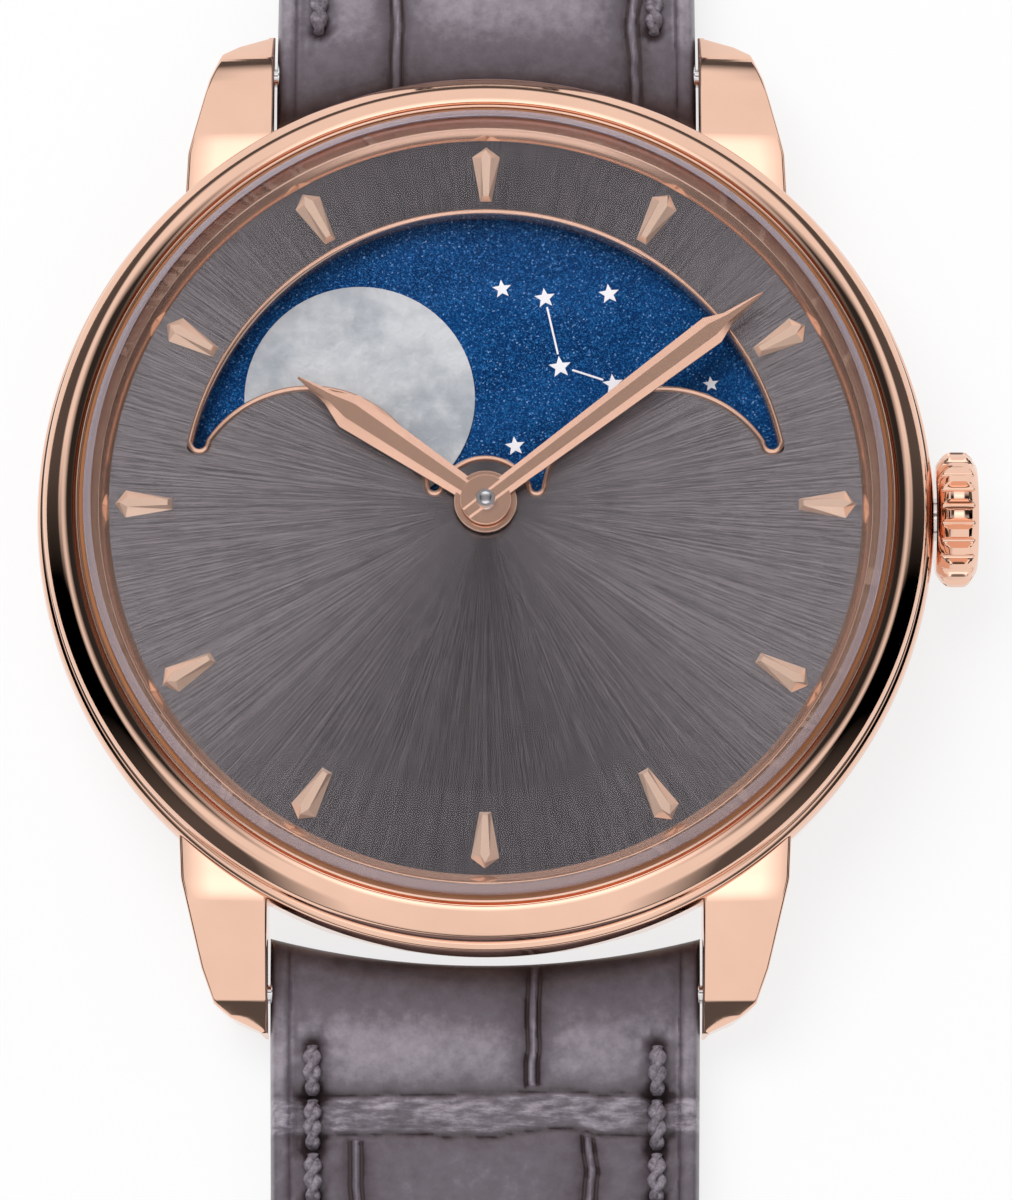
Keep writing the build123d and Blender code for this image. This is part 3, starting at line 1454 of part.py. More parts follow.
def buckle_frame():
    """The pin buckle's frame: a rounded bow with an ear at each end of its bar."""
    axis_place = bar_place + short_length
    half = buckle_width / 2
    bow = RectangleRounded(buckle_width, buckle_length * 2, buckle_corner)
    mouth = RectangleRounded(
        buckle_width - 2 * buckle_wire, 2 * (buckle_length - buckle_wire), buckle_corner - buckle_wire / 2
    )
    behind = Rectangle(2 * buckle_width, 3 * buckle_length, align=(Align.CENTER, Align.MAX))
    flat = extrude(bow - mouth - behind, buckle_height)
    body = Pos(0, axis_place, 0) * flat
    for start in (-half, half - buckle_wire):
        body += rod(buckle_ear_radius, start, start + buckle_wire, buckle_axis_height, axis_place)
    reach = half - buckle_wire + buckle_bar_hole_depth
    bar_hole = buckle_bar_radius + running_gap
    return body - rod(bar_hole, -reach - seat_gap, reach + seat_gap, buckle_axis_height, axis_place)


def buckle_bar():
    """The bar through the strap's loop, the tongue's eye and the buckle's ears."""
    reach = buckle_width / 2 - buckle_wire + buckle_bar_hole_depth
    return rod(buckle_bar_radius, -reach, reach, buckle_axis_height, bar_place + short_length)


def buckle_tongue():
    """The pin of the buckle: a tapered tongue on an eye, resting on the far side of the frame."""
    axis_place = bar_place + short_length
    half = tongue_width / 2
    rest = buckle_height + seat_gap
    end = axis_place + buckle_length + tongue_overhang
    side = [
        (axis_place, buckle_axis_height),
        (axis_place, rest + tongue_height * tongue_root_share),
        (axis_place + tongue_eye_radius * 2, rest + tongue_height),
        (end - buckle_wire, rest + tongue_height * tongue_end_share),
        (end, rest + tongue_height * tongue_tip_share),
        (end - tongue_overhang, rest),
        (axis_place + buckle_length - 2 * buckle_wire, rest),
        (axis_place + tongue_eye_radius * 2, rest - tongue_height * tongue_tip_share),
    ]
    profile = make_face(Polyline(*[(0, y, z) for y, z in side], close=True))
    body = Pos(-half, 0, 0) * extrude(profile, tongue_width, dir=(1, 0, 0))
    body += rod(tongue_eye_radius, -half, half, buckle_axis_height, axis_place)
    return body - rod(
        buckle_bar_radius + hinge_gap, -buckle_width, buckle_width, buckle_axis_height, axis_place
    )


pieces = [
    case_middle, bezel, crystal, crystal_gasket, rehaut_ring, dial, aperture_frame, hour_markers, hour_hand,
    minute_hand, moon_disc, moons, cannon_pinion, minute_wheel, hour_wheel, day_wheel, step_wheel, casing_ring,
    main_plate, barrel_bridge, train_bridge, balance_cock, pallet_bridge, bridge_screws, jewels, barrel,
    ratchet_wheel, barrel_arbor, crown_wheel, winding_pinion, winding_stem, setting_lever, crown_tube, crown,
    click, click_spring, centre_wheel, third_wheel, fourth_wheel, escape_wheel, pallet_fork, balance_wheel,
    hairspring, case_back, case_back_crystal, case_back_gasket, spring_bars, strap_short,
    strap_long, fixed_keeper, loose_keeper, buckle_frame, buckle_bar, buckle_tongue,
]

os.makedirs("parts", exist_ok=True)
for piece in pieces:
    export_step(piece(), f"parts/{piece.__name__}.step")
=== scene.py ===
import bmesh
import bpy
import numpy as np
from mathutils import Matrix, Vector


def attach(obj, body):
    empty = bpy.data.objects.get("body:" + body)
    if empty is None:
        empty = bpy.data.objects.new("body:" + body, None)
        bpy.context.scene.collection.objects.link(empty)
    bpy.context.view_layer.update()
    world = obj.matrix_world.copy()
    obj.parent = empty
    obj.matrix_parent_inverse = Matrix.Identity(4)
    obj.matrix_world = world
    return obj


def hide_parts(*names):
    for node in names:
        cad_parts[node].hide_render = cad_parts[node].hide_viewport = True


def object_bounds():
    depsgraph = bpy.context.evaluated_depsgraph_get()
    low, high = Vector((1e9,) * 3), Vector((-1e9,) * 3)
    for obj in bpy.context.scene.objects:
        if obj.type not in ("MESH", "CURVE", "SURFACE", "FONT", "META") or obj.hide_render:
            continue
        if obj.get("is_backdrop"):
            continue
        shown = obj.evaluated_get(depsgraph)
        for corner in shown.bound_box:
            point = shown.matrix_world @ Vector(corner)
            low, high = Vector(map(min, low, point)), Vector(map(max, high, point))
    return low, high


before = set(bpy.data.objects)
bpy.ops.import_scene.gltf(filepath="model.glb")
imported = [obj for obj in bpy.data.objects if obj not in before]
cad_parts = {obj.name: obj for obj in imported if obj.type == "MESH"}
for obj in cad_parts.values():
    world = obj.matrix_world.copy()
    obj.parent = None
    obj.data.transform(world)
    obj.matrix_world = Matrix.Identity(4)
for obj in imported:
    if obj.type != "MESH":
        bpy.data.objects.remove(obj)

cad_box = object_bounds()

# Case middle: a turned ring of rose gold, polished, with a narrow bright chamfer round its top. It carries
# everything else. Between the lugs it is hollowed for the ends of the strap.
MM = 0.001
case_outline = [(18.1, 1.5), (19.9, 1.5), (20.8, 3.0), (21.0, 5.5), (20.9, 6.2), (20.68, 6.4), (18.1, 6.4)]
case_edge, case_step = 0.14, 0.3
lug_gap = 20.2
bar_y, bar_z = 22.2, 2.1
strap_room, hollow_from = 2.9, 18.5
rose_gold_colour = (0.90, 0.575, 0.435)
cloud_scale, scratch_scale = 260.0, 5200.0


class Value:
    """A socket in a sum: each operator adds one Math node to the socket's own node tree."""

    def __init__(self, socket):
        self.socket = socket
        self.tree = socket.id_data

    def math(self, operation, *others):
        node = self.tree.nodes.new("ShaderNodeMath")
        node.operation = operation
        for number, other in enumerate((self,) + others):
            if isinstance(other, Value):
                self.tree.links.new(other.socket, node.inputs[number])
            else:
                node.inputs[number].default_value = other
        return Value(node.outputs[0])

    def flipped(self, operation, other):
        node = self.tree.nodes.new("ShaderNodeMath")
        node.operation = operation
        node.inputs[0].default_value = other
        self.tree.links.new(self.socket, node.inputs[1])
        return Value(node.outputs[0])

    def __add__(self, other):
        return self.math("ADD", other)

    def __sub__(self, other):
        return self.math("SUBTRACT", other)

    def __mul__(self, other):
        return self.math("MULTIPLY", other)

    def __truediv__(self, other):
        return self.math("DIVIDE", other)

    def __rsub__(self, other):
        return self.flipped("SUBTRACT", other)

    __radd__ = __add__
    __rmul__ = __mul__

    def clamped(self):
        return self.math("MAXIMUM", 0.0).math("MINIMUM", 1.0)

    def band(self, low, high):
        """0 below low and 1 above high, in a straight line between them."""
        return ((self - low) / (high - low)).clamped()


class Finish:
    """A procedural material, built node by node round one Principled shader."""

    def __init__(self, name, **plain):
        self.material = bpy.data.materials.new(name)
        self.material.use_nodes = True
        self.tree = self.material.node_tree
        self.shader = self.tree.nodes["Principled BSDF"]
        for socket, value in plain.items():
            self.put(socket.replace("_", " "), value)

    def node(self, kind, output, settings=None, **sockets):
        """Add a node, with its settings first and then its sockets, and give back one of its outputs."""
        node = self.tree.nodes.new("ShaderNode" + kind)
        for name, value in (settings or {}).items():
            if name == "stops":
                ramp = node.color_ramp.elements
                while len(ramp) < len(value):
                    ramp.new(0.5)
                for stop, (place, colour) in zip(ramp, value):
                    stop.position, stop.color = place, (*colour, 1.0)
            else:
                setattr(node, name, value)
        for name, value in sockets.items():
            self.feed(node.inputs[int(name[1:]) if name[0] == "_" else name.replace("_", " ")], value)
        return Value(node.outputs[output])

    def feed(self, socket, value):
        if isinstance(value, Value):
            self.tree.links.new(value.socket, socket)
        elif isinstance(value, tuple) and len(value) == 3 and socket.type == "RGBA":
            socket.default_value = (*value, 1.0)
        else:
            socket.default_value = value

    def put(self, socket, value):
        self.feed(self.shader.inputs[socket], value)

    def place(self):
        """The point on the piece, in metres."""
        return self.node("TexCoord", "Object")

    def noise(self, scale, detail=3.0, roughness=0.5, vector=None):
        """Cloudy noise from 0 to 1; scale counts its lumps in a metre."""
        where = vector or self.place()
        return self.node("TexNoise", "Fac", Vector=where, Scale=scale, Detail=detail, Roughness=roughness)

    def mixed(self, share, first, second):
        """One colour turning into another as the share goes from 0 to 1."""
        return self.node("Mix", 2, {"data_type": "RGBA"}, _0=share, _6=first, _7=second)

    def bump(self, height, strength, distance):
        """A relief as deep as the distance, in millimetres, where the height is 1."""
        normal = self.node("Bump", "Normal", Height=height, Strength=strength, Distance=distance * MM)
        self.put("Normal", normal)


def polished_metal(name, colour, roughness, smear=0.03, metallic=1.0):
    """Polished metal: hairline scratches too fine to see one by one make its gloss uneven. A share that isn't
    metallic stands for a satin skin that scatters the light."""
    finish = Finish(name, Metallic=metallic)
    cloud = finish.noise(cloud_scale, 4.0)
    fine = finish.noise(scratch_scale, 2.0)
    finish.put("Roughness", cloud * smear + fine * smear * 0.5 + roughness)
    deeper = tuple(channel * 0.93 for channel in colour)
    finish.put("Base Color", finish.mixed(cloud.band(0.3, 0.7), deeper, colour))
    finish.bump(fine, 0.05, 0.002)
    return finish.material


def grid_faces(rows, columns, round_rows=False, round_columns=False):
    """Quads between neighbours in a grid of points; a round direction joins its last line to its first."""
    row = np.arange(rows if round_rows else rows - 1)[:, None]
    column = np.arange(columns if round_columns else columns - 1)[None, :]
    after, beside = (row + 1) % rows, (column + 1) % columns
    this, following = row * columns, after * columns
    quads = [this + column, this + beside, following + beside, following + column]
    return np.stack(np.broadcast_arrays(*quads), -1).reshape(-1, 4)


def make_piece(name, points, faces, material, crease=32.0, **values):
    """A closed mesh from points in millimetres: doubles merged, faces outwards, smooth up to a crease angle.
    Each extra value is one number per point, kept as an attribute that the material can read."""
    mesh = bpy.data.meshes.new(name)
    flat = np.asarray(points, float).reshape(-1, 3) * MM
    mesh.from_pydata(flat.tolist(), [], np.asarray(faces).tolist())
    for key, numbers in values.items():
        layer = mesh.attributes.new(key, "FLOAT", "POINT")
        layer.data.foreach_set("value", np.asarray(numbers, np.float32).ravel())
    shell = bmesh.new()
    shell.from_mesh(mesh)
    bmesh.ops.remove_doubles(shell, verts=shell.verts, dist=1e-7)
    bmesh.ops.dissolve_degenerate(shell, edges=shell.edges, dist=1e-8)
    bmesh.ops.recalc_face_normals(shell, faces=shell.faces)
    shell.to_mesh(mesh)
    shell.free()
    mesh.shade_smooth()
    mesh.set_sharp_from_angle(angle=np.radians(crease))
    mesh.materials.append(material)
    piece = bpy.data.objects.new(name, mesh)
    bpy.context.scene.collection.objects.link(piece)
    return piece


def softened(corners, reach, steps=5):
    """A closed outline with its corners rounded: at each, a parabola between the points a reach away."""
    corner = np.array(corners, float)
    t = np.linspace(0, 1, steps)[None, :, None]
    ends = []
    for side in (1, -1):
        edge = np.roll(corner, side, 0) - corner
        length = np.linalg.norm(edge, axis=1, keepdims=True)
        ends.append(corner + edge / length * np.minimum(reach, length * 0.45))
    curve = (1 - t) ** 2 * ends[0][:, None] + 2 * t * (1 - t) * corner[:, None] + t**2 * ends[1][:, None]
    return curve.reshape(-1, corner.shape[1])


def divided(outline, step):
    """A closed outline with points added so that none is much further than a step from the next."""
    outline = np.asarray(outline, float)
    after = np.roll(outline, -1, 0)
    counts = np.maximum(1, np.ceil(np.linalg.norm(after - outline, axis=1) / step)).astype(int)
    shares = np.concatenate([np.arange(count) / count for count in counts])[:, None]
    return np.repeat(outline, counts, 0) * (1 - shares) + np.repeat(after, counts, 0) * shares


def turned(outline, count=288):
    """A surface turned about the Z axis: each point (radius, height) of the outline goes round a circle."""
    outline = np.asarray(outline, float)
    angle = np.linspace(0, 2 * np.pi, count, endpoint=False)[:, None]
    radius, height = outline[None, :, 0], outline[None, :, 1]
    points = np.stack(np.broadcast_arrays(radius * np.cos(angle), radius * np.sin(angle), height), -1)
    return points, grid_faces(count, len(outline), True, True)


def fitted(piece, body, slot, *nodes):
    """Tell the frame which body carries the piece and hide the nodes that it replaces; the finish's slot is
    not used.
    """
    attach(piece, body)
    if nodes:
        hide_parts(*nodes)


rose_gold = polished_metal("rose_gold", rose_gold_colour, 0.035)
points, faces = turned(divided(softened(case_outline, case_edge), case_step), 720)
aside = np.abs(points[..., 1]) - bar_y
above = points[..., 2] - bar_z
away = np.hypot(aside, above)
between_lugs = np.abs(points[..., 0]) < lug_gap / 2
hollowed = between_lugs & (away < strap_room) & (np.hypot(points[..., 0], points[..., 1]) > hollow_from)
reach = np.where(hollowed, strap_room / np.maximum(away, 0.01), 1.0)
points[..., 1] = np.sign(points[..., 1]) * (bar_y + aside * reach)
points[..., 2] = bar_z + above * reach
fitted(make_piece("case_ring", points, faces, rose_gold), "case", "rose_gold", "case_middle")

# Lugs: four horns of the same rose gold, fixed to the ring, that bend down to a steep end. Each has a nearly
# flat top, upright flanks with softened edges, and holds one end of a spring bar.
lug_root_y, lug_tip_y = 15.1, 24.1
lug_plan = [(15.1, 4.1), (17.4, 4.0), (21.4, 3.05), (22.9, 2.5), (23.45, 1.75), (24.05, 0.35)]
lug_top = [(15.1, 6.2), (18.5, 5.85), (20.6, 5.25), (22.2, 4.35), (22.75, 3.95), (24.1, 2.5)]
lug_low = [(15.1, 1.6), (20.0, 1.15), (24.1, 0.7)]
lug_lean, lug_fall, lug_edge = 0.35, 0.05, 0.16
facet_from_y = 22.3


def lug_points(rows=70):
    """A lug: along it, a softened four-sided section whose width, top and underside follow three curves. The
    top is smoothed up to the facet that ends it. The outer flank leans in towards the underside."""
    y = lug_root_y + (lug_tip_y - lug_root_y) * np.sin(np.linspace(0, np.pi / 2, rows))
    width, top, low = (np.interp(y, *np.transpose(curve)) for curve in (lug_plan, lug_top, lug_low))
    kernel = np.hanning(11) / np.hanning(11).sum()
    smooth = np.convolve(top, kernel, "valid")
    top[5:-5] = np.where(y[5:-5] < facet_from_y, smooth, top[5:-5])
    sections = []
    for place, wide, high, under in zip(y, width, top, low):
        inner = lug_gap / 2
        outer = inner + wide
        lean = min(lug_lean, 0.6 * wide)
        corners = [(inner, under), (inner, high), (outer, high - lug_fall), (outer - lean, under)]
        outline = softened(corners, min(lug_edge, 0.4 * wide, 0.4 * (high - under)), 6)
        sections.append(np.stack([outline[:, 0], np.full(len(outline), place), outline[:, 1]], -1))
    sections = np.array(sections)
    ends = [sections[:1].mean(1, keepdims=True), sections[-1:].mean(1, keepdims=True)]
    capped = [np.broadcast_to(end, sections[:1].shape) for end in ends]
    return np.concatenate([capped[0], sections, capped[1]])


def joined(groups):
    """Several grids of points made one mesh: faces of each group are counted on from the group before."""
    points = np.concatenate([np.reshape(group[0], (-1, 3)) for group in groups])
    starts = np.cumsum([0] + [np.reshape(group[0], (-1, 3)).shape[0] for group in groups[:-1]])
    return points, np.concatenate([np.asarray(group[1]) + start for group, start in zip(groups, starts)])


horn = lug_points()
horn_faces = grid_faces(horn.shape[0], horn.shape[1], False, True)
flips = [np.array((side_x, side_y, 1.0)) for side_x in (-1, 1) for side_y in (-1, 1)]
points, faces = joined([(horn * flip, horn_faces) for flip in flips])
fitted(make_piece("lugs", points, faces, rose_gold, 38.0), "case", "rose_gold")

# Bezel: a turned and polished ring pressed on the case middle. Its band rolls over to a steep flank, and a
# groove parts it from the thin bead beside the crystal.
bezel_tilts = [  # radius, degrees
    (19.2, 4.0), (19.7, 20.0), (19.93, 33.0), (20.08, 37.5), (20.45, 44.0), (20.53, 60.0), (20.6, 80.0),
]
bezel_foot, bezel_top = (20.6, 6.9), 8.44
flank_radii, roll_radii = (20.6, 20.3, 14), (20.27, 19.2, 20)
bead_outline = [
    (19.13, 8.12), (19.05, 8.12), (19.03, 8.58), (18.9, 8.6), (18.9, 6.4), (20.56, 6.4), bezel_foot,
]
bead_edge = 0.05


def bezel_band():
    """The band's profile from its foot up: the radius steps inwards while its height adds up the slope, which
    grows from nearly flat beside the bead to steep at the foot."""
    radius = np.concatenate([np.linspace(*flank_radii), np.linspace(*roll_radii)])
    slope = np.tan(np.radians(np.interp(radius, *np.transpose(bezel_tilts))))
    rise = np.concatenate([[0], np.cumsum(-np.diff(radius) * (slope[1:] + slope[:-1]) / 2)])
    return list(zip(radius, bezel_top - rise[-1] + rise))


bead = [tuple(corner) for corner in softened(bead_outline, bead_edge, 4)[:-4]]
points, faces = turned(bezel_band() + bead + [bezel_foot], 360)
fitted(make_piece("bezel_ring", points, faces, rose_gold, 50.0), "case", "rose_gold", "bezel")

# Gasket: an amber ring of clear plastic pressed between the crystal and the bezel's bead.
gasket_outline, gasket_edge = [(18.9, 7.98), (18.9, 8.5), (18.68, 8.5), (18.68, 7.98)], 0.04
amber = Finish("amber_gasket", Roughness=0.25, Specular_IOR_Level=0.5)
amber.put("Base Color", amber.mixed(amber.noise(400.0), (0.36, 0.15, 0.06), (0.26, 0.10, 0.04)))
points, faces = turned(softened(gasket_outline, gasket_edge, 3))
fitted(make_piece("gasket_ring", points, faces, amber.material), "case", "gasket", "crystal_gasket")

# Crystal: domed sapphire that stands on the flange, coated against glare. Its edge is ground with a slope and
# is only half polished, so that it takes up the colours round it and looks lilac.
crystal_outline = [
    (18.68, 7.98), (18.68, 8.92), (18.24, 9.28), (17.9, 9.34), (14.0, 9.78), (9.0, 10.1), (4.0, 10.22),
    (0.0, 10.25), (0.0, 9.25), (4.0, 9.22), (9.0, 9.1), (14.0, 8.78), (17.8, 8.42), (17.9, 8.3), (17.9, 7.98),
]
crystal_edge, ground_from = 0.08, 18.3


def clear_glass(name, tint, strength, body_colour, body_share):
    """Coated glass: mostly see-through, with a gloss that grows to the edge and a share of its own body."""
    glass = Finish(name, Roughness=0.06, Specular_IOR_Level=0.5)
    deeper = tuple(0.95 * channel for channel in body_colour)
    glass.put("Base Color", glass.mixed(glass.noise(120.0), body_colour, deeper))
    clear = glass.node("BsdfTransparent", "BSDF", Color=tint)
    gloss = glass.node("BsdfGlossy", "BSDF", Color=(0.9, 0.88, 1.0), Roughness=0.0)
    fresnel = glass.node("Fresnel", "Fac", IOR=1.45)
    seen = glass.node("MixShader", 0, None, _0=fresnel * strength, _1=clear, _2=gloss)
    solid = glass.node("MixShader", 0, None, _0=body_share, _1=seen, _2=Value(glass.shader.outputs[0]))
    glass.tree.links.new(solid.socket, glass.tree.nodes["Material Output"].inputs["Surface"])
    return glass.material


sapphire = clear_glass("sapphire", (0.99, 0.985, 0.99), 0.12, (0.7, 0.66, 0.74), 0.0)
ground_sapphire = clear_glass("ground_sapphire", (0.90, 0.83, 0.87), 0.8, (0.74, 0.65, 0.71), 0.3)
points, faces = turned(softened(crystal_outline, crystal_edge, 4))
crystal = make_piece("crystal_dome", points, faces, sapphire, 25.0)
crystal.data.materials.append(ground_sapphire)
face_centres = np.empty(len(crystal.data.polygons) * 3)
crystal.data.polygons.foreach_get("center", face_centres)
face_radii = np.hypot(*face_centres.reshape(-1, 3)[:, :2].T)
crystal.data.polygons.foreach_set("material_index", (face_radii > ground_from * MM).astype(np.int32))
fitted(crystal, "case", "crystal", "crystal")

# Flange: a satin rose gold ring that slopes from the crystal's foot down to the edge of the dial.
flange_outline, flange_edge = [(17.53, 7.5), (18.0, 7.98), (18.88, 7.98), (18.88, 7.5)], 0.03
satin_gold = polished_metal("satin_gold", (0.92, 0.60, 0.45), 0.12, metallic=0.85)
points, faces = turned(softened(flange_outline, flange_edge, 3))
fitted(make_piece("flange_ring", points, faces, satin_gold), "case", "rose_gold", "rehaut_ring")

# Dial: a brass plate, brushed from its centre with hairline rays and coated anthracite. The rays are a fine
# relief in the angle round the centre, so the sheen turns with the light as on the real dial. Their relief
# grows with the distance from the centre, so that they are as steep all along.
dial_colour = (0.28, 0.255, 0.265)
coarse_rays, fine_rays, ray_drift = 150.0, 420.0, 0.4
ray_relief, ray_rise = 0.016, 100.0
rays = Finish("sunray_anthracite", Metallic=0.95, Roughness=0.2)
east, north = (rays.node("SeparateXYZ", axis, Vector=rays.place()) for axis in ("X", "Y"))
angle = north.math("ARCTAN2", east)
distance = (east * east + north * north).math("SQRT")
along_ray = rays.node("CombineXYZ", "Vector", X=angle, Y=distance * ray_drift)
coarse = rays.noise(coarse_rays, 2.0, 0.6, along_ray)
fine = rays.noise(fine_rays, 2.0, 0.6, along_ray)
grain = coarse * 0.6 + fine * 0.4
ray_dark, ray_light = (tuple(share * channel for channel in dial_colour) for share in (0.78, 1.22))
rays.put("Base Color", rays.mixed(grain.band(0.35, 0.65), ray_dark, ray_light))
rays.bump(fine * distance * ray_rise, 1.0, ray_relief)


def dress(material, *nodes):
    """Give CAD nodes a procedural material in place of their plain one."""
    for node in nodes:
        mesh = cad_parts[node].data
        mesh.materials.clear()
        mesh.materials.append(material)


dress(rays.material, "dial")

# Window frame: a thin rose gold wall that lines the crescent window and stands a little over the dial, with a
# rounded top.
window_radius, lobe_radius, lobe_offset, hub_radius = 14.2, 5.45, 8.23, 2.1
horn_start, inner_horn_start = 2.95, 0.85
frame_outline = [
    (-0.04, 6.65), (-0.04, 7.52), (0.01, 7.64), (0.11, 7.7), (0.2, 7.64), (0.25, 7.52), (0.25, 6.65),
]
frame_edge = 0.03


def window_path():
    """The window's edge: outer arc, end of a horn, lobe, inner horn, hub, and the same mirrored. Each horn
    ends in a half circle between the two arcs that form it."""

    def arc(x, y, radius, start, end):
        angle = np.linspace(start, end, 160)
        return np.stack([x + radius * np.cos(angle), y + radius * np.sin(angle)], -1)

    def horn(right, left, y):
        return arc((right + left) / 2, y, (right - left) / 2, 0.0, -np.pi)

    def half_chord(radius, y):
        return np.sqrt(radius**2 - y**2)

    outer_angle = np.arcsin(horn_start / window_radius)
    hub_angle = np.arcsin(inner_horn_start / hub_radius)
    outer = arc(0, 0, window_radius, np.pi - outer_angle, outer_angle)
    hub = arc(0, 0, hub_radius, hub_angle, np.pi - hub_angle)
    lobe_outer = lobe_offset + half_chord(lobe_radius, horn_start)
    lobe_inner = lobe_offset - half_chord(lobe_radius, inner_horn_start)
    lobe_angles = np.arcsin(horn_start / lobe_radius), np.pi - np.arcsin(inner_horn_start / lobe_radius)
    side = np.concatenate([
        horn(half_chord(window_radius, horn_start), lobe_outer, horn_start),
        arc(lobe_offset, 0, lobe_radius, *lobe_angles),
        horn(lobe_inner, half_chord(hub_radius, inner_horn_start), inner_horn_start),
    ])
    corners = np.concatenate([outer, side, hub, side[::-1] * (-1, 1)])
    apart = np.linalg.norm(corners - np.roll(corners, 1, 0), axis=1) > 1e-6
    path = divided(corners[apart], 0.05)
    return (np.roll(path, 1, 0) + path * 2 + np.roll(path, -1, 0)) / 4


def swept(path, outline):
    """A closed flat path carried round with an outline of (distance to its right, height) at each point."""
    ahead = np.roll(path, -1, 0) - np.roll(path, 1, 0)
    ahead /= np.linalg.norm(ahead, axis=1, keepdims=True)
    right = np.stack([ahead[:, 1], -ahead[:, 0]], -1)
    outline = np.asarray(outline, float)
    flat = path[:, None] + right[:, None] * outline[None, :, :1]
    height = np.broadcast_to(outline[None, :, 1:], flat.shape[:2] + (1,))
    return np.concatenate([flat, height], -1), grid_faces(len(path), len(outline), True, True)


points, faces = swept(window_path(), softened(frame_outline, frame_edge, 3))
fitted(make_piece("window_frame", points, faces, satin_gold, 45.0), "case", "rose_gold", "aperture_frame")

# Hour markers: solid rose gold kites, cut with flat polished facets and riveted through the dial.
marker_gold = polished_metal("marker_gold", (0.97, 0.69, 0.53), 0.12, metallic=0.45)
dress(marker_gold, "hour_markers")

# Hands: stamped rose gold, each with a narrow flat along its top and a polished bevel either side, on a hub
# that is pressed on its pipe. A polished steel pin closes the centre.
facet_gold = polished_metal("facet_gold", (0.90, 0.56, 0.41), 0.07, metallic=0.78)
hour_hand = dict(
    low=7.88, turn=304.3, hub=(1.46, 0.93), stations=[(0.0, 0.92), (7.67, 1.76), (8.84, 0.7), (10.6, 0.1)]
)
minute_hand = dict(
    low=8.3, turn=52.4, hub=(1.18, 0.58), stations=[(-1.12, 0.8), (13.34, 1.43), (14.25, 0.66), (16.35, 0.08)]
)
hand_thickness, flat_share, side_share, thin_width = 0.28, 0.45, 0.6, 0.75
hub_thickness, hub_lap, hub_step, hub_edge = 0.22, 0.11, 0.07, 0.025


def hand_points(low, turn, hub, stations):
    """A hand along Y, turned clockwise: at each station (distance, width) a flat bottom, two short upright
    sides, two bevels and a flat of nearly half the width; and its hub, a ring whose top reaches in over the
    pipe. Where the hand is narrow it is thinner as well."""
    station = np.array(stations)[:, None, :]
    across = np.array([-1.0, 1.0, 1.0, flat_share, -flat_share, -1.0])
    thinned = np.clip(station[..., 1] / thin_width, 0.3, 1.0)
    height = np.array([0.0, 0.0, side_share, 1.0, 1.0, side_share]) * hand_thickness * thinned
    x = station[..., 1] / 2 * across
    y = np.broadcast_to(station[..., 0], x.shape)
    bar = np.stack([x, y, np.broadcast_to(height + low, x.shape)], -1)
    ends = [np.broadcast_to(bar[place].mean(0), bar[:1].shape) for place in (0, -1)]
    bar = np.concatenate([ends[0], bar, ends[1]])
    outer, hole = hub
    top = low + hub_thickness
    lap, step = hole - hub_lap, top - hub_step
    ring = [(hole, low), (outer, low), (outer, top), (lap, top), (lap, step), (hole, step)]
    ring = divided(softened(ring, hub_edge, 3), 0.07)
    points, faces = joined([(bar, grid_faces(len(bar), 6, False, True)), turned(ring, 96)])
    angle = -np.radians(turn)
    turned_x = points[:, 0] * np.cos(angle) - points[:, 1] * np.sin(angle)
    turned_y = points[:, 0] * np.sin(angle) + points[:, 1] * np.cos(angle)
    return np.stack([turned_x, turned_y, points[:, 2]], -1), faces


for name, sizes in (("hour", hour_hand), ("minute", minute_hand)):
    points, faces = hand_points(**sizes)
    blade = make_piece(name + "_hand_blade", points, faces, facet_gold, 15.0)
    fitted(blade, name, "rose_gold", name + "_hand")

steel = polished_metal("polished_steel", (0.80, 0.80, 0.82), 0.18)
pin_outline = [
    (0.0, 8.4), (0.44, 8.4), (0.44, 8.74), (0.41, 8.81), (0.33, 8.855), (0.18, 8.875), (0.0, 8.88),
]
points, faces = turned(pin_outline, 64)
fitted(make_piece("centre_pin", points, faces, steel), "minute", "polished_steel")

# Sky disc: a disc of blue glass full of fine glints, which turns once in two lunations under the dial. About
# one grain in twelve is a glint, and nearly half are dust that is lighter than the glass.
glint_scale, dust_scale = 15000.0, 17000.0
sky = Finish("glint_glass", Roughness=0.35, Specular_IOR_Level=0.05)
grains, specks = (
    sky.node("TexVoronoi", "Color", Vector=sky.place(), Scale=scale) for scale in (glint_scale, dust_scale)
)
chance, hue = (sky.node("SeparateXYZ", axis, Vector=grains) for axis in ("X", "Y"))
glint = chance.band(0.92, 1.0)
dust = sky.node("SeparateXYZ", "X", Vector=specks).band(0.55, 1.0)
cloud = sky.noise(420.0, 3.0)
ground = sky.mixed(cloud.band(0.3, 0.7), (0.001, 0.02, 0.085), (0.003, 0.04, 0.15))
ground = sky.mixed(dust * 0.7, ground, (0.02, 0.16, 0.42))
spark = sky.mixed(hue, (0.03, 0.25, 0.65), (0.30, 0.50, 0.80))
sky.put("Base Color", sky.mixed(glint * 0.7, ground, spark))
dress(sky.material, "moon_disc")

# Moons: thin discs of white mother-of-pearl let into the sky disc, with the shell's cloudy growth lines.
pearl = Finish("mother_of_pearl", Roughness=0.3, Coat_Weight=0.5, Coat_Roughness=0.08)
warp = pearl.noise(190.0, 4.0, 0.55)
growth = pearl.noise(620.0, 4.0, 0.6)
relief = warp * 0.6 + growth * 0.4
tone = pearl.mixed(relief.band(0.42, 0.58), (0.35, 0.385, 0.415), (0.57, 0.595, 0.61))
blush = pearl.noise(60.0, 2.0).band(0.45, 0.75)
pearl.put("Base Color", pearl.mixed(blush * 0.2, tone, (0.92, 0.86, 0.84)))
pearl.bump(relief, 0.9, 0.7)
dress(pearl.material, "moons")

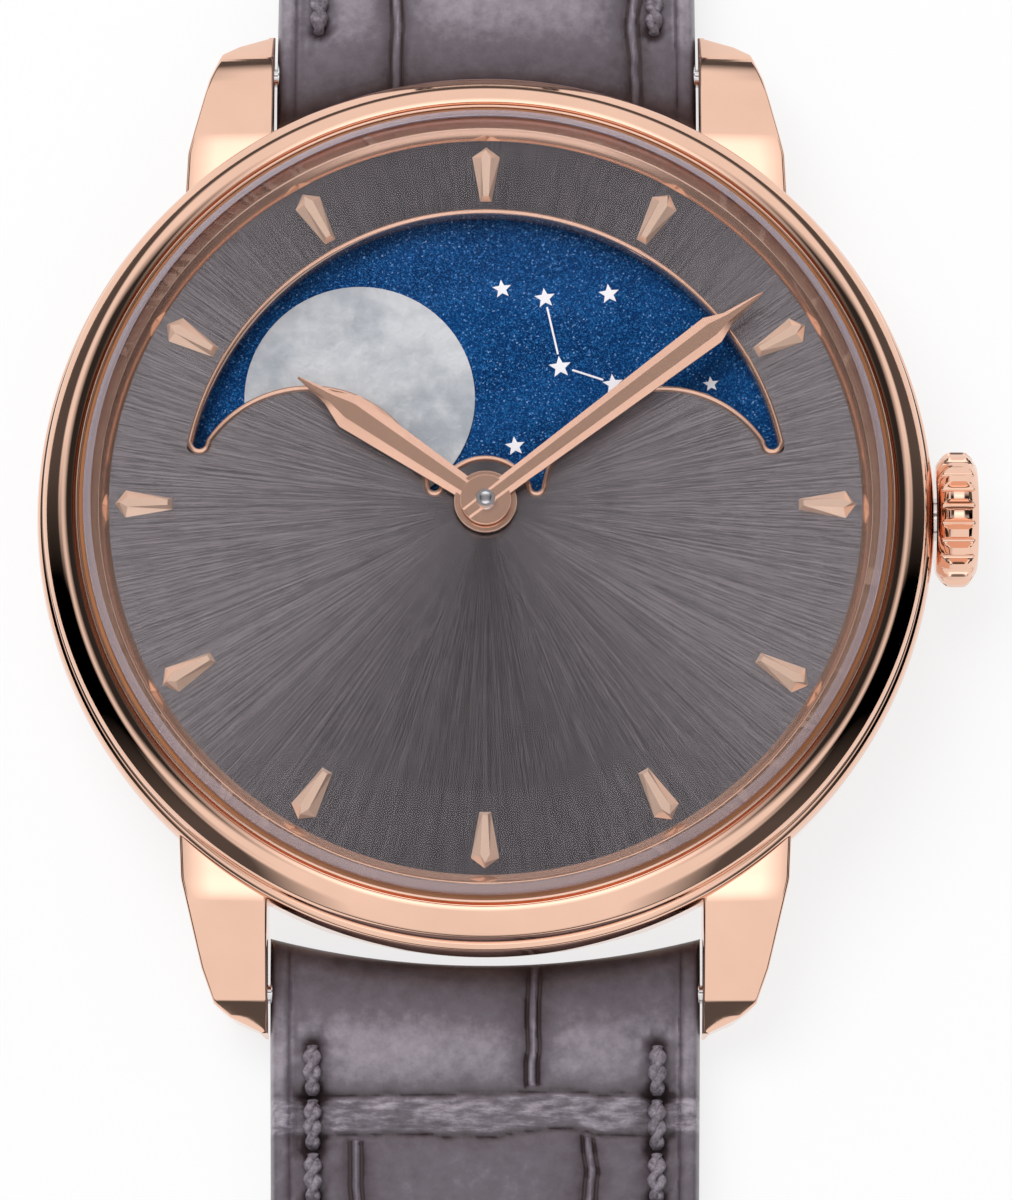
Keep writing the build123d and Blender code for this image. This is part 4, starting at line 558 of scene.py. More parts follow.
# Stars and the thin lines that link three of them: printed in raised white enamel on the sky disc.
star_places = [
    (0.75, 10.66, 0.46), (2.77, 10.22, 0.5), (5.78, 10.42, 0.5), (3.48, 6.88, 0.54), (5.96, 6.06, 0.5),
    (10.55, 6.06, 0.38), (1.37, 3.06, 0.48),
]
star_links = [(2.87, 9.78, 3.38, 7.5), (4.05, 6.74, 5.5, 6.26)]
star_turn, star_waist = 0.12, 0.44
star_low, star_high, link_width = 6.3, 6.36, 0.09
enamel = Finish("white_enamel", Roughness=0.4)
enamel.put("Base Color", enamel.mixed(enamel.noise(900.0), (0.80, 0.80, 0.83), (0.93, 0.92, 0.94)))


def raised(outline):
    """A flat shape from its outline: walls from low to high, both closed at the middle."""
    middle = np.broadcast_to(outline.mean(0), outline.shape)
    rows = [(middle, star_low), (outline, star_low), (outline, star_high), (middle, star_high)]
    points = np.stack([np.concatenate([flat, np.full((len(flat), 1), height)], -1) for flat, height in rows])
    return points, grid_faces(4, len(outline), False, True)


prints = []
corner_angle = np.arange(10) * np.pi / 5 + np.pi / 2 + star_turn
corner_reach = np.where(np.arange(10) % 2 == 0, 1.0, star_waist)
for x, y, radius in star_places:
    star = np.stack([np.cos(corner_angle), np.sin(corner_angle)], -1) * (corner_reach * radius)[:, None]
    prints.append(raised(star + (x, y)))
for x0, y0, x1, y1 in star_links:
    run = np.array((x1 - x0, y1 - y0))
    beside = np.array((-run[1], run[0])) / np.hypot(*run) * link_width / 2
    start = np.array((x0, y0))
    end = start + run
    prints.append(raised(np.stack([start - beside, end - beside, end + beside, start + beside])))
points, faces = joined(prints)
fitted(make_piece("star_prints", points, faces, enamel.material, 20.0), "moon", "pearl")

# Crown: turned rose gold with rounded flutes milled through its rim, domed at its end, on a steel stem.
crown_axis_z, crown_rim, plain_from = 4.4, 3.17, 2.45
crown_flutes, flute_depth, flute_land = 22, 0.34, 0.4
crown_profile = [
    (21.06, 0.0), (21.06, 2.3), (21.1, 2.55), (21.2, 2.72), (21.42, 2.98), (21.62, 3.12), (21.8, 3.17),
    (22.3, 3.17), (22.5, 3.14), (22.7, 2.98), (22.86, 2.76), (22.96, 2.6), (23.01, 2.5), (23.02, 2.36),
    (23.0, 2.3), (23.03, 2.1), (23.09, 1.5), (23.13, 0.8), (23.15, 0.0),
]


def crown_points(columns=20):
    """The profile (place along the axis, radius) goes round the crown's axis. Its radius is kept under the
    fluted rim, whose valleys are half-round between flat lands; near the axis it is plain."""
    angle = np.linspace(0, 2 * np.pi, crown_flutes * columns, endpoint=False)
    phase = (angle * crown_flutes / (2 * np.pi)) % 1.0
    valley = np.clip((np.abs(phase - 0.5) * 2 - flute_land) / (1 - flute_land), 0, 1)
    rim = crown_rim - flute_depth * np.sin(valley * np.pi / 2) ** 0.8
    x, envelope = np.transpose(divided(crown_profile, 0.09))
    x, envelope = x[: np.argmax(x) + 1], envelope[: np.argmax(x) + 1]
    radius = np.minimum(envelope[:, None], rim[None])
    radius = np.where(envelope[:, None] < plain_from, envelope[:, None], radius)
    x = np.broadcast_to(x[:, None], radius.shape)
    return np.stack([x, radius * np.sin(angle), radius * np.cos(angle) + crown_axis_z], -1)


points = crown_points()
faces = grid_faces(*points.shape[:2], False, True)
fitted(make_piece("crown_body", points, faces, rose_gold, 28.0), "crown", "rose_gold", "crown")

# Strap: two padded halves of large-scaled leather, turned over at the edges and sewn with a thick cord. Each
# is widest and thickest at the watch, where it wraps the spring bar and its end follows the round case.
strap_half_width, strap_narrowing = 10.03, 2.06
end_radius, end_middle = 38.0, -1.35
short_length, tip_start, tip_length, tip_clear = 76.4, 101.0, 114.9, 1.9
taper_from, taper_to = 2.5, 42.0
bar_low, bar_thickness, far_thickness = 0.15, 3.9, 2.5
edge_drop, edge_rounding, end_rounding = 0.22, 0.32, 1.5
edge_fold, fold_depth, fold_width, fold_zone = 0.88, 0.17, 0.1, 0.35
second_fold, second_depth = 0.34, 0.08
far_rounding, slot_rounding = 1.4, 0.3
stitch_inset, stitch_pitch, stitch_length = 2.0, 2.5, 2.2
dent_depth, dent_width, trough_depth, trough_width, mark_reach = 0.42, 0.42, 0.13, 0.75, 3.2
pucker_height, pucker_width, pucker_folds = 0.05, 1.3, 7
scale_depth, scale_roll = 0.26, 0.75
band_depth, band_fade, rim_depth, rim_width = 0.16, 0.25, 0.11, 0.11
wrinkle_low, wrinkle_height = 0.1, 0.11
groove_width, groove_depth, groove_roll = 0.27, 0.09, 0.12
ridge_height, ridge_roll, split_fade = 0.1, 0.13, 0.3
fine_run, fine_step, step_growth, widest_step = 13.0, 0.14, 0.004, 0.36
far_off = 9.0
hole_places = tip_length - 27.0 - 6.5 * np.arange(7)
hole_radius, hole_wall = 0.9, 0.45
slot_half, slot_start, slot_lap = 1.3, 72.0, 0.2


def value_noise(x, y, seed):
    """Smooth noise from -1 to 1: random numbers at whole coordinates, joined by cubic steps."""
    table = np.random.default_rng(seed).uniform(-1, 1, (128, 128))
    column, row = np.floor(x).astype(int), np.floor(y).astype(int)
    across, along = x - column, y - row
    across, along = across**2 * (3 - 2 * across), along**2 * (3 - 2 * along)
    pick = lambda dx, dy: table[(column + dx) % 128, (row + dy) % 128]
    first = pick(0, 0) * (1 - across) + pick(1, 0) * across
    second = pick(0, 1) * (1 - across) + pick(1, 1) * across
    return first * (1 - along) + second * along


def hill(distance, width):
    """A bell: 1 at no distance, and near 0 beyond twice the width."""
    return np.exp(-((distance / width) ** 2))


def scale_relief(x, s, bands, splits, seed):
    """Height of the skin over its plain shape, in mm: scales are pillows that fall away at their borders.
    Across the strap these are wrinkled bands, and between two bands straight grooves, each with a thin ridge
    in it. Noise makes all borders wander. With the height come each point's share in a band and its distance
    from the nearest groove's middle."""
    relief = np.zeros_like(x)
    border = np.full_like(x, far_off)
    seam = np.full_like(x, far_off)
    warp_s = s + 0.32 * value_noise(x / 3.1, s / 9.0, seed) + 0.1 * value_noise(x / 0.9, s / 3.0, seed + 1)
    warp_x = x + 0.16 * value_noise(x / 6.0, s / 2.2, seed + 2)
    warp_x = warp_x + 0.05 * value_noise(x / 2.0, s / 0.7, seed + 3)
    in_band = np.zeros_like(x)
    edges = [-99.0]
    for low, high in bands:
        edges += [low, high]
        middle, half = (low + high) / 2, (high - low) / 2
        outside = np.abs(warp_s - middle) - half
        in_band = np.maximum(in_band, np.clip(-outside / band_fade, 0, 1))
        border = np.minimum(border, np.maximum(outside, 0))
        relief -= rim_depth * hill(outside, rim_width)
    edges.append(999.0)
    for row, places in enumerate(splits):
        low, high = edges[2 * row], edges[2 * row + 1]
        here = np.clip((warp_s - low) / split_fade, 0, 1) * np.clip((high - warp_s) / split_fade, 0, 1)
        for place in places:
            away = np.abs(warp_x - place)
            groove = groove_depth * hill(away - groove_width, groove_roll)
            relief += here * (ridge_height * hill(away, ridge_roll) - groove)
            seam = np.where(here > 0.5, np.minimum(seam, away), seam)
            border = np.where(here > 0.5, np.minimum(border, np.maximum(away - groove_width, 0)), border)
    pillow = scale_depth * np.exp(-border / scale_roll)
    wrinkle = np.abs(value_noise(x / 1.1, warp_s / 0.3, seed + 4)) * 0.5
    wrinkle = wrinkle + np.abs(value_noise(x / 2.3, warp_s / 0.42, seed + 5))
    relief -= pillow * (1 - in_band) + in_band * (band_depth + wrinkle_low - wrinkle_height * wrinkle)
    return relief + 0.02 * value_noise(x / 1.6, s / 1.4, seed + 7) * (1 - in_band), in_band, seam


def strap_shape(x, s, half_width, far_low):
    """Plain underside and top of a half: the thickness goes from that round the bar to that of the far end,
    and the top is crowned: the drop grows with the square of the distance from its middle line."""
    along = np.clip((s - taper_from) / (taper_to - taper_from), 0, 1)
    along = along * (2 - along)
    low = bar_low + (far_low - bar_low) * along
    thick = bar_thickness + (far_thickness - bar_thickness) * along
    share = np.abs(x) / np.maximum(half_width, 0.01)
    return low, low + thick * (1 - edge_drop * share**2)


def edge_round(distance, reach):
    """Share of full height at a distance inside an edge that is rounded over a reach: a quarter circle."""
    return np.sqrt(np.clip(1 - (1 - np.clip(distance / reach, 0, 1)) ** 2, 0, 1))


def stitch_rows(length, tip, first):
    """Places of the stitches' middles, with the way each lies: along both edges, and round the tip if there
    is one. The line keeps a distance from the edge; each stitch is a pitch after the last."""
    if tip:
        bend = (tip_length - tip_start - tip_clear) * np.sin(np.linspace(0, np.pi / 2, 80))[1:]
        s = np.concatenate([np.linspace(first, tip_start, 300), tip_start + bend])
    else:
        s = np.linspace(first, length - 3.2, 300)
    inner = np.maximum(outline_width(s, length, tip) - stitch_inset, 0.0)
    side = np.stack([inner, s], -1)
    rows = []
    for path in (side, side * (-1, 1)):
        steps = np.linalg.norm(np.diff(path, axis=0), axis=1)
        run = np.concatenate([[0], np.cumsum(steps)])
        count = int((run[-1] - stitch_length) / stitch_pitch) + 1
        middle = stitch_length / 2 + stitch_pitch * np.arange(count)
        place = np.stack([np.interp(middle, run, path[:, axis]) for axis in (0, 1)], -1)
        ahead = np.stack([np.interp(middle + 0.05, run, path[:, axis]) for axis in (0, 1)], -1) - place
        rows.append((place, ahead / np.linalg.norm(ahead, axis=1, keepdims=True)))
    return np.concatenate([row[0] for row in rows]), np.concatenate([row[1] for row in rows])


def outline_width(s, length, tip):
    """Half the strap's width at a distance from the bar: a slow taper, then for the tip a softened ogive."""
    width = strap_half_width - strap_narrowing / 2 * np.clip(s / length, 0, 1)
    if tip:
        along = np.clip((s - tip_start) / (tip_length - tip_start), 0, 1)
        width = width * np.clip(1 - along**1.7, 0, 1) ** 0.5
    return width


def strap_stations(length):
    """Distances of the rows from the end at the watch: close together there, then wider apart, and closer
    again where the far end is rounded off."""
    end = length - end_middle
    fine = np.arange(0, fine_run, fine_step)
    coarse = fine_run + np.cumsum(np.minimum(fine_step + step_growth * np.arange(400), widest_step))
    rounded = end - end_rounding * (1 - np.sin(np.linspace(0, np.pi / 2, 9)))
    return np.concatenate([fine, coarse[coarse < end - 1.6], rounded])


def strap_columns():
    """Places across, as shares of half the width: even over the scales, and closer towards each edge."""
    inner = np.linspace(-1, 1, 101) * (strap_half_width - edge_fold - fold_zone)
    edge = strap_half_width - (edge_fold + fold_zone) * (1 - np.sin(np.linspace(0, np.pi / 2, 13)))[1:]
    return np.concatenate([-edge[::-1], inner, edge]) / strap_half_width


def folded_edge(x, s, inside, margin, seed):
    """Height of the turned-over edge, in mm: a groove where the fold ends, in places a fainter one beside it,
    and outside it a small unevenness."""
    patchy = np.clip(value_noise(s / 3.0, x * 0, seed + 9) + 0.5, 0, 1)
    fold = -fold_depth * hill(inside - edge_fold, fold_width)
    fold = fold - second_depth * hill(inside - edge_fold - second_fold, fold_width) * patchy
    fold += 0.03 * value_noise(s / 1.1, x / 0.4, seed + 8) * (1 - margin)
    return fold


def stitch_marks(x, s, station, places, ways, seed):
    """Depth of the dents and height of the puckers that stitches leave, in mm: a hollow at both ends of
    each stitch, a trough under it, and folds that run out from its ends like spokes."""
    dent = np.zeros_like(x)
    pucker = np.zeros_like(x)
    for (px, ps), (wx, ws) in zip(places, ways):
        rows = np.abs(station[:, 0] - ps) < mark_reach
        dx, ds = x[rows] - px, s[rows] - ps
        along, across = dx * wx + ds * ws, dx * ws - ds * wx
        for end in (-1, 1):
            away = np.hypot(along - end * stitch_length / 2 * 0.95, across * 0.9)
            dent[rows] += dent_depth * hill(away, dent_width)
            turn = np.arctan2(across, along - end * stitch_length / 2)
            spokes = np.sin(pucker_folds * turn + 3 * value_noise(dx, ds, seed + 10))
            pucker[rows] += pucker_height * hill(away, pucker_width) * spokes
        dent[rows] += trough_depth * hill(across, trough_width) * hill(along, stitch_length * 0.45)
    return dent, pucker


def paint_skin_light(skin, dent, in_band, run):
    """Painted light and shade of the skin, from 0 to 1: high skin is painted pale and holes dark, as shade,
    and the crease bands are paler in tone. Along the strap a painted shade is darkest by the case, a painted
    sheen is palest a little after it, and then it is even."""
    worn = np.clip(0.66 + skin * 1.5 + 0.25 * in_band, 0, 1) * (1 - 0.5 * np.clip(dent / 0.3, 0, 1))
    worn = worn * (0.28 + 0.72 * np.clip(run / 3.6, 0, 1)) * (1 - 0.2 * np.clip((run - 7) / 3, 0, 1))
    return worn * (1 + 0.22 * hill(run - 5.0, 1.7))


def strap_half(name, side, length, far_low, bands, splits, seed, tip):
    """One half as a closed grid: in each row, points go across the top and back under it. Points inside a
    buckle hole move to its wall. Faces in the middle of a hole and in the slot are left out."""
    sigma = strap_stations(length)
    run = sigma[:, None]
    station = run + end_middle
    width = outline_width(station, length, tip)
    x = strap_columns()[None] * width
    shift = end_radius - np.sqrt(end_radius**2 - x**2)
    s = np.broadcast_to(station - shift * hill(run, 3.0), x.shape).copy()
    if not tip:
        s = np.where(np.abs(x) < slot_half - 0.05, np.minimum(s, slot_start + slot_lap), s)
    low, top = strap_shape(x, s, width, far_low)
    inside = np.minimum(width - np.abs(x), far_off)
    near = edge_round(run, end_rounding) * edge_round(length - s, far_rounding)
    if not tip:
        slot_gap = np.hypot(np.maximum(np.abs(x) - slot_half, 0), np.maximum(slot_start + slot_lap - s, 0))
        near = near * edge_round(slot_gap, slot_rounding)
    rounding = edge_round(inside, edge_rounding) * near
    middle = low + (top - low) * 0.5
    relief, in_band, seam = scale_relief(x, s, bands, splits, seed)
    margin = np.clip((inside - edge_fold) / 0.5, 0, 1)
    places, ways = stitch_rows(length, tip, 2.6 if tip else 1.9)
    dent, pucker = stitch_marks(x, s, station, places, ways, seed)
    relief = relief * (0.3 + 0.7 * margin) + folded_edge(x, s, inside, margin, seed)
    strength = np.clip(near * 1.4 - 0.25, 0, 1)
    skin = relief - dent + pucker
    upper = middle + (top - middle) * rounding + skin * strength * np.clip(inside / 0.3, 0, 1)
    lower = middle - (middle - low) * rounding
    hollow = (near <= 0) * 1.0
    if tip:
        for place in hole_places:
            away = np.hypot(x, s - place)
            closer = np.clip((hole_radius - away) / hole_wall, 0, 1)
            push = np.where(away < hole_radius, hole_radius / np.maximum(away, 1e-3), 1.0)
            x, s = x * push, (s - place) * push + place
            upper = upper * (1 - closer) + middle * closer
            lower = lower * (1 - closer) + middle * closer
            hollow = np.maximum(hollow, closer)
    y = side * (bar_y + s)
    points = np.concatenate([np.stack([x, y, upper], -1), np.stack([x, y, lower], -1)[:, ::-1]], 1)
    faces = grid_faces(len(points), points.shape[1], False, True)
    gone = np.concatenate([hollow, hollow[:, ::-1]], 1).ravel() >= 1
    faces = faces[~gone[faces].all(1)]
    # Painted light and shade on the top: dark in stitch holes, in low skin and by the case, then a painted
    # sheen; the underside is even.
    worn = paint_skin_light(skin, dent, in_band, run)
    worn = np.concatenate([worn, np.full_like(worn, 0.6)], 1)
    seam = np.concatenate([np.where(inside > edge_fold, seam, far_off), np.full_like(seam, far_off)], 1)
    in_band = np.concatenate([in_band, np.zeros_like(in_band)], 1)
    half = make_piece(name, points, faces, leather.material, 60.0, worn=worn, seam=seam, in_band=in_band)
    return half, x, s, upper, places, ways


leather = Finish("dyed_leather", Specular_IOR_Level=0.5, Coat_Weight=0.35, Coat_Roughness=0.3)
# Attributes read: the skin's painted light and shade with its tone, the distance from a groove's middle, and
# the share in a crease band.
worn, seam, in_band = (
    leather.node("Attribute", "Fac", {"attribute_name": key}) for key in ("worn", "seam", "in_band")
)
patch = leather.noise(170.0, 4.0, 0.6)
pores = leather.noise(4200.0, 3.0, 0.6)
lines = leather.noise(1500.0, 5.0, 0.7)
dark, middle_tone, light = (0.03, 0.018, 0.02), (0.122, 0.101, 0.122), (0.35, 0.31, 0.355)
stretch = leather.node("Mapping", "Vector", Vector=leather.place(), Scale=(0.35, 1.3, 1.0))
wrinkles = leather.noise(2600.0, 4.0, 0.65, stretch)
# Painted shade: a thin dark line along the bottom of each groove between scales. Painted highlight: the ridge
# in each groove is painted paler.
shaded_groove = 1 - (seam - groove_width).math("ABSOLUTE").band(0.03, 0.13)
lit_ridge = 1 - seam.band(0.05, 0.2)
shade = worn + (patch - 0.5) * 0.2 + (lines - 0.5) * 0.55 + (wrinkles - 0.5) * in_band * 1.4
shade = shade + lit_ridge * 0.35 - shaded_groove * (patch + 0.2) * 0.42
shade = shade.clamped()
lower_tones = leather.mixed(shade.band(0.05, 0.55), dark, middle_tone)
leather.put("Base Color", leather.mixed(shade.band(0.55, 1.0), lower_tones, light))
leather.put("Roughness", patch * 0.12 + pores * 0.1 + (1 - worn) * 0.15 + 0.3)
leather.bump(pores * 0.3 + lines * 0.6 + wrinkles * in_band * 2.0 + lit_ridge * 0.8 - shaded_groove * 1.2, 0.6, 0.06)
six_bands = [
    (4.85, 6.7), (13.1, 14.3), (20.9, 22.0), (28.9, 29.9), (36.4, 37.3), (44.0, 44.8), (51.3, 52.1),
    (58.8, 59.5), (66.0, 66.7), (73.5, 74.2), (80.7, 81.4), (88.2, 88.9), (95.4, 96.1), (102.8, 103.4),
    (109.0, 109.6),
]
six_splits = [
    (2.27,), (-5.99, 4.85), (-1.6, 6.9), (-6.6, 2.6), (-2.5, 5.4), (-5.6, 1.3), (-1.2, 6.2), (-4.9, 3.4),
    (-6.4, 0.6, 6.5), (-2.6, 4.3), (-5.6, 1.7), (-1.4, 5.6), (-4.6, 2.5), (-1.9, 4.4), (0.4,), (),
]
twelve_bands = [
    (5.6, 7.2), (14.0, 15.1), (22.2, 23.2), (30.0, 30.9), (37.8, 38.6), (45.2, 46.0), (52.8, 53.5),
    (60.1, 60.8), (67.3, 68.0),
]
twelve_splits = [
    (-4.36, 7.0), (-1.3, 5.2), (-6.0, 2.4), (-2.6, 6.1), (-5.4, 1.2), (-0.9, 4.9), (-4.7, 2.8), (-1.8, 5.3),
    (-5.2, 0.9, 5.6), (-3.4, 3.4),
]
short_far_low, long_far_low = 1.15, 0.0
halves = [
    strap_half("strap_twelve_leather", 1, short_length, short_far_low, twelve_bands, twelve_splits, 7, False),
    strap_half("strap_six_leather", -1, tip_length, long_far_low, six_bands, six_splits, 31, True),
]
for half, body, node in zip(halves, ("strap_twelve", "strap_six"), ("strap_short", "strap_long")):
    fitted(half[0], body, "leather", node)

# Stitches: a thick waxed cord of two plies. Each stitch rises out of its punched hole, lies on the leather
# and goes down again, with its plies wound round each other.
ply_radius, ply_offset, ply_turns, ply_press = 0.27, 0.2, 1.5, 0.55
cord_dark, cord_light = (0.08, 0.066, 0.08), (0.34, 0.30, 0.345)
sample_inset = 0.93
cord_finish = Finish("waxed_cord", Roughness=0.45, Specular_IOR_Level=0.35)
strand = cord_finish.noise(3200.0, 3.0, 0.7)
cord_finish.put("Base Color", cord_finish.mixed(strand.band(0.3, 0.75), cord_dark, cord_light))
cord_finish.bump(strand, 0.7, 0.06)


def cord_stitches(side, x, s, upper, places, ways):
    """All stitches of a half: each ply is a tube whose middle line winds round the stitch's arched line,
    which starts and ends under the skin. The leather's height is read a little inside each stitch."""
    share = np.linspace(0, 1, 23)
    lift = 0.04 + 0.2 * np.sin(np.pi * share) ** 0.55 - 0.6 * (1 - np.sin(np.pi * share) ** 0.3)
    run = (share - 0.5) * (stitch_length + 0.15)
    taper = 0.7 + 0.3 * np.sin(np.pi * share) ** 0.5
    round_angle = np.arange(8) * np.pi / 4
    nearest = [np.argmin(np.hypot(x - place[0] * sample_inset, s - place[1])) for place in places]
    heights = upper.ravel()[nearest]
    beside = np.stack([ways[:, 1], -ways[:, 0]], -1)[:, None, None]
    groups = []
    for ply in (0, 1):
        wind = 2 * np.pi * ply_turns * share + np.pi * ply + 0.6
        across = ply_offset * np.cos(wind) * np.sin(np.pi * share) ** 0.4
        up = ply_press * ply_offset * np.sin(wind) * np.sin(np.pi * share) ** 0.4
        across = across[:, None] + ply_radius * taper[:, None] * np.cos(round_angle)
        up = (lift + up)[:, None] + ply_radius * taper[:, None] * np.sin(round_angle)
        along = np.broadcast_to(run[:, None], across.shape)
        flat = places[:, None, None] + along[None, ..., None] * ways[:, None, None]
        flat = flat + across[None, ..., None] * beside
        height = heights[:, None, None] + up[None]
        tube = np.concatenate([flat[..., :1], side * (bar_y + flat[..., 1:]), height[..., None]], -1)
        caps = [np.broadcast_to(tube[:, end].mean(1)[:, None, None], tube[:, :1].shape) for end in (0, -1)]
        tube = np.concatenate([caps[0], tube, caps[1]], 1)
        faces = grid_faces(tube.shape[1], 8, False, True)
        groups += [(one, faces) for one in tube]
    return joined(groups)


for half, side, body in zip(halves, (1, -1), ("strap_twelve", "strap_six")):
    points, faces = cord_stitches(side, *half[1:])
    fitted(make_piece(body + "_stitches", points, faces, cord_finish.material, 60.0), body, "leather")

# Keepers: two leather loops on the short half. The first is sewn in place, the second slides.
keeper_inner, keeper_low, keeper_high = 9.6, 1.0, 6.25
keeper_width, loop_corner, loop_edge = 5.0, 0.35, 0.25
loop_section = [(0.0, 0.0), (0.0, 1.0), (-0.8, 1.0), (-0.96, 0.75), (-1.0, 0.5), (-0.96, 0.25), (-0.8, 0.0)]


def keeper_points(start):
    """A closed loop in the plane across the strap, carried round with a softened, crowned outline."""
    inner, low, high = keeper_inner, keeper_low, keeper_high
    corners = [(-inner, low), (-inner, high), (inner, high), (inner, low)]
    path = divided(softened(corners, loop_corner, 7), 0.35)
    outline = [(out, keeper_width * share) for out, share in loop_section]
    points, faces = swept(path, divided(softened(outline, loop_edge, 4), 0.3))
    return np.stack([points[..., 0], points[..., 2] + start, points[..., 1]], -1), faces


keeper_leather = Finish("loop_leather", Specular_IOR_Level=0.45, Coat_Weight=0.12, Coat_Roughness=0.3)
where, border_only = keeper_leather.place(), {"feature": "DISTANCE_TO_EDGE"}
hide = keeper_leather.node("TexVoronoi", "Distance", border_only, Vector=where, Scale=330.0)
crease = keeper_leather.noise(1500.0, 5.0, 0.7)
grain = hide.band(0.0, 0.12) * 0.7 + crease * 0.3
keeper_leather.put("Base Color", keeper_leather.mixed(grain, dark, middle_tone))
keeper_leather.put("Roughness", crease * 0.15 + 0.35)
keeper_leather.bump(grain, 0.7, 0.12)
keepers = [
    ("sewn_keeper", 85.7, "strap_twelve", "fixed_keeper"), ("sliding_keeper", 73.2, "keeper", "loose_keeper"),
]
for name, start, body, node in keepers:
    points, faces = keeper_points(start)
    fitted(make_piece(name, points, faces, keeper_leather.material, 50.0), body, "leather", node)

# Buckle: a rose gold frame bent from round-edged wire, with eyes at its ends that hold a steel bar, and a
# tongue that is hooked round the bar and rests in the frame. The watch's other steel shafts look the same.
dress(rose_gold, "buckle_frame", "buckle_tongue")
dress(steel, "buckle_bar", "spring_bars", "crown_tube", "winding_stem", "cannon_pinion", "hour_wheel")

# Case back: a rose gold ring screwed into the case with six key notches, round a flat sapphire window.
window_glass = clear_glass("window_sapphire", (0.97, 0.98, 0.98), 0.5, (0.7, 0.7, 0.74), 0.0)
dress(rose_gold, "case_back")
dress(window_glass, "case_back_crystal")
dress(amber.material, "case_back_gasket")

# Plate and bridges: brass plated rhodium grey. The plate is grained in small overlapping spots, and the
# bridges are striped.
stripe_angle, stripe_pitch = 0.6, 3300.0  # radians; radians in a metre
plate = Finish("spotted_plate", Metallic=1.0)
spots = plate.node("TexVoronoi", "Distance", Vector=plate.place(), Scale=1150.0)
rings = (spots * 60.0).math("SINE") * 0.5 + 0.5
plate.put("Base Color", plate.mixed(rings, (0.56, 0.56, 0.58), (0.68, 0.68, 0.70)))
plate.put("Roughness", rings * 0.12 + 0.24)
plate.bump(rings, 0.4, 0.01)
dress(plate.material, "main_plate", "casing_ring")
striped = Finish("striped_bridge", Metallic=1.0)
turned_place = striped.node(
    "VectorRotate", "Vector", {"rotation_type": "Z_AXIS"}, Vector=striped.place(), Angle=stripe_angle
)
stripe = (striped.node("SeparateXYZ", "X", Vector=turned_place) * stripe_pitch).math("SINE")
hair = striped.noise(2600.0, 3.0)
striped.put("Base Color", striped.mixed(stripe * 0.5 + 0.5, (0.60, 0.60, 0.62), (0.74, 0.74, 0.75)))
striped.put("Roughness", hair * 0.14 + 0.18)
striped.bump(stripe * 0.35 + hair * 0.15, 0.6, 0.05)
dress(striped.material, "barrel_bridge", "train_bridge", "pallet_bridge", "balance_cock")

# Wheels: the train is gilt brass on steel arbors, finely frosted; the wheels and levers of the winding work
# and the escapement are steel, ground in rings.
gilt = Finish("gilt_brass", Metallic=1.0)
haze = gilt.noise(1400.0, 4.0)
gilt.put("Base Color", gilt.mixed(haze, (0.78, 0.54, 0.24), (0.90, 0.68, 0.36)))
gilt.put("Roughness", haze * 0.15 + 0.2)
gilt.bump(haze, 0.3, 0.01)
dress(
    gilt.material, "barrel", "centre_wheel", "third_wheel", "fourth_wheel", "balance_wheel", "day_wheel",
    "step_wheel", "minute_wheel",
)
ground_steel = Finish("ground_steel", Metallic=1.0)
rings_round_z = {"wave_type": "RINGS", "rings_direction": "Z"}
swirl = ground_steel.node(
    "TexWave", "Fac", rings_round_z, Vector=ground_steel.place(), Scale=900.0, Distortion=3.0, Detail=2.0
)
ground_steel.put("Base Color", ground_steel.mixed(swirl, (0.52, 0.52, 0.54), (0.70, 0.70, 0.72)))
ground_steel.put("Roughness", swirl * 0.1 + 0.22)
dress(
    ground_steel.material, "ratchet_wheel", "crown_wheel", "escape_wheel", "pallet_fork", "click",
    "click_spring", "barrel_arbor", "setting_lever", "winding_pinion",
)

# Screws and hairspring of steel blued by heat, and jewels of ruby.
blued = Finish("blued_steel", Metallic=1.0)
temper = blued.noise(700.0, 2.0)
blued.put("Base Color", blued.mixed(temper, (0.02, 0.06, 0.30), (0.05, 0.12, 0.42)))
blued.put("Roughness", temper * 0.1 + 0.12)
dress(blued.material, "bridge_screws", "hairspring")
ruby = Finish("ruby", Roughness=0.08, Coat_Weight=0.4)
depth = ruby.noise(1100.0, 2.0)
ruby.put("Base Color", ruby.mixed(depth, (0.45, 0.01, 0.06), (0.66, 0.03, 0.12)))
dress(ruby.material, "jewels")

# Floor: a large pale sheet that the watch lies on. The camera and the gold see it nearly white, and it still
# takes the watch's shadow. From below it can be seen through, so that the case back shows.
floor_size, floor_drop, floor_share = 9.0, 0.15, 0.8
bpy.ops.mesh.primitive_grid_add(
    x_subdivisions=4, y_subdivisions=4, size=floor_size, location=(0, 0, -floor_drop * MM)
)
floor = bpy.context.object
floor.name = "floor"
paper = Finish("pale_floor", Roughness=0.9, Specular_IOR_Level=0.1)
paper.put("Base Color", paper.mixed(paper.noise(3.0), (0.80, 0.80, 0.80), (0.82, 0.82, 0.82)))
ray_kinds = ("Is Camera Ray", "Is Glossy Ray", "Is Transmission Ray")
direct, mirrored, through = (paper.node("LightPath", kind) for kind in ray_kinds)
seen = (direct + mirrored + through).clamped()
glow = paper.node("Emission", "Emission", Color=(1.0, 1.0, 1.0), Strength=1.0)
shown = paper.node("MixShader", 0, None, _0=seen * floor_share, _1=Value(paper.shader.outputs[0]), _2=glow)
back = paper.node("NewGeometry", "Backfacing")
open_below = paper.node("MixShader", 0, None, _0=back, _1=shown, _2=paper.node("BsdfTransparent", "BSDF"))
paper.tree.links.new(open_below.socket, paper.tree.nodes["Material Output"].inputs["Surface"])
floor.data.materials.append(paper.material)
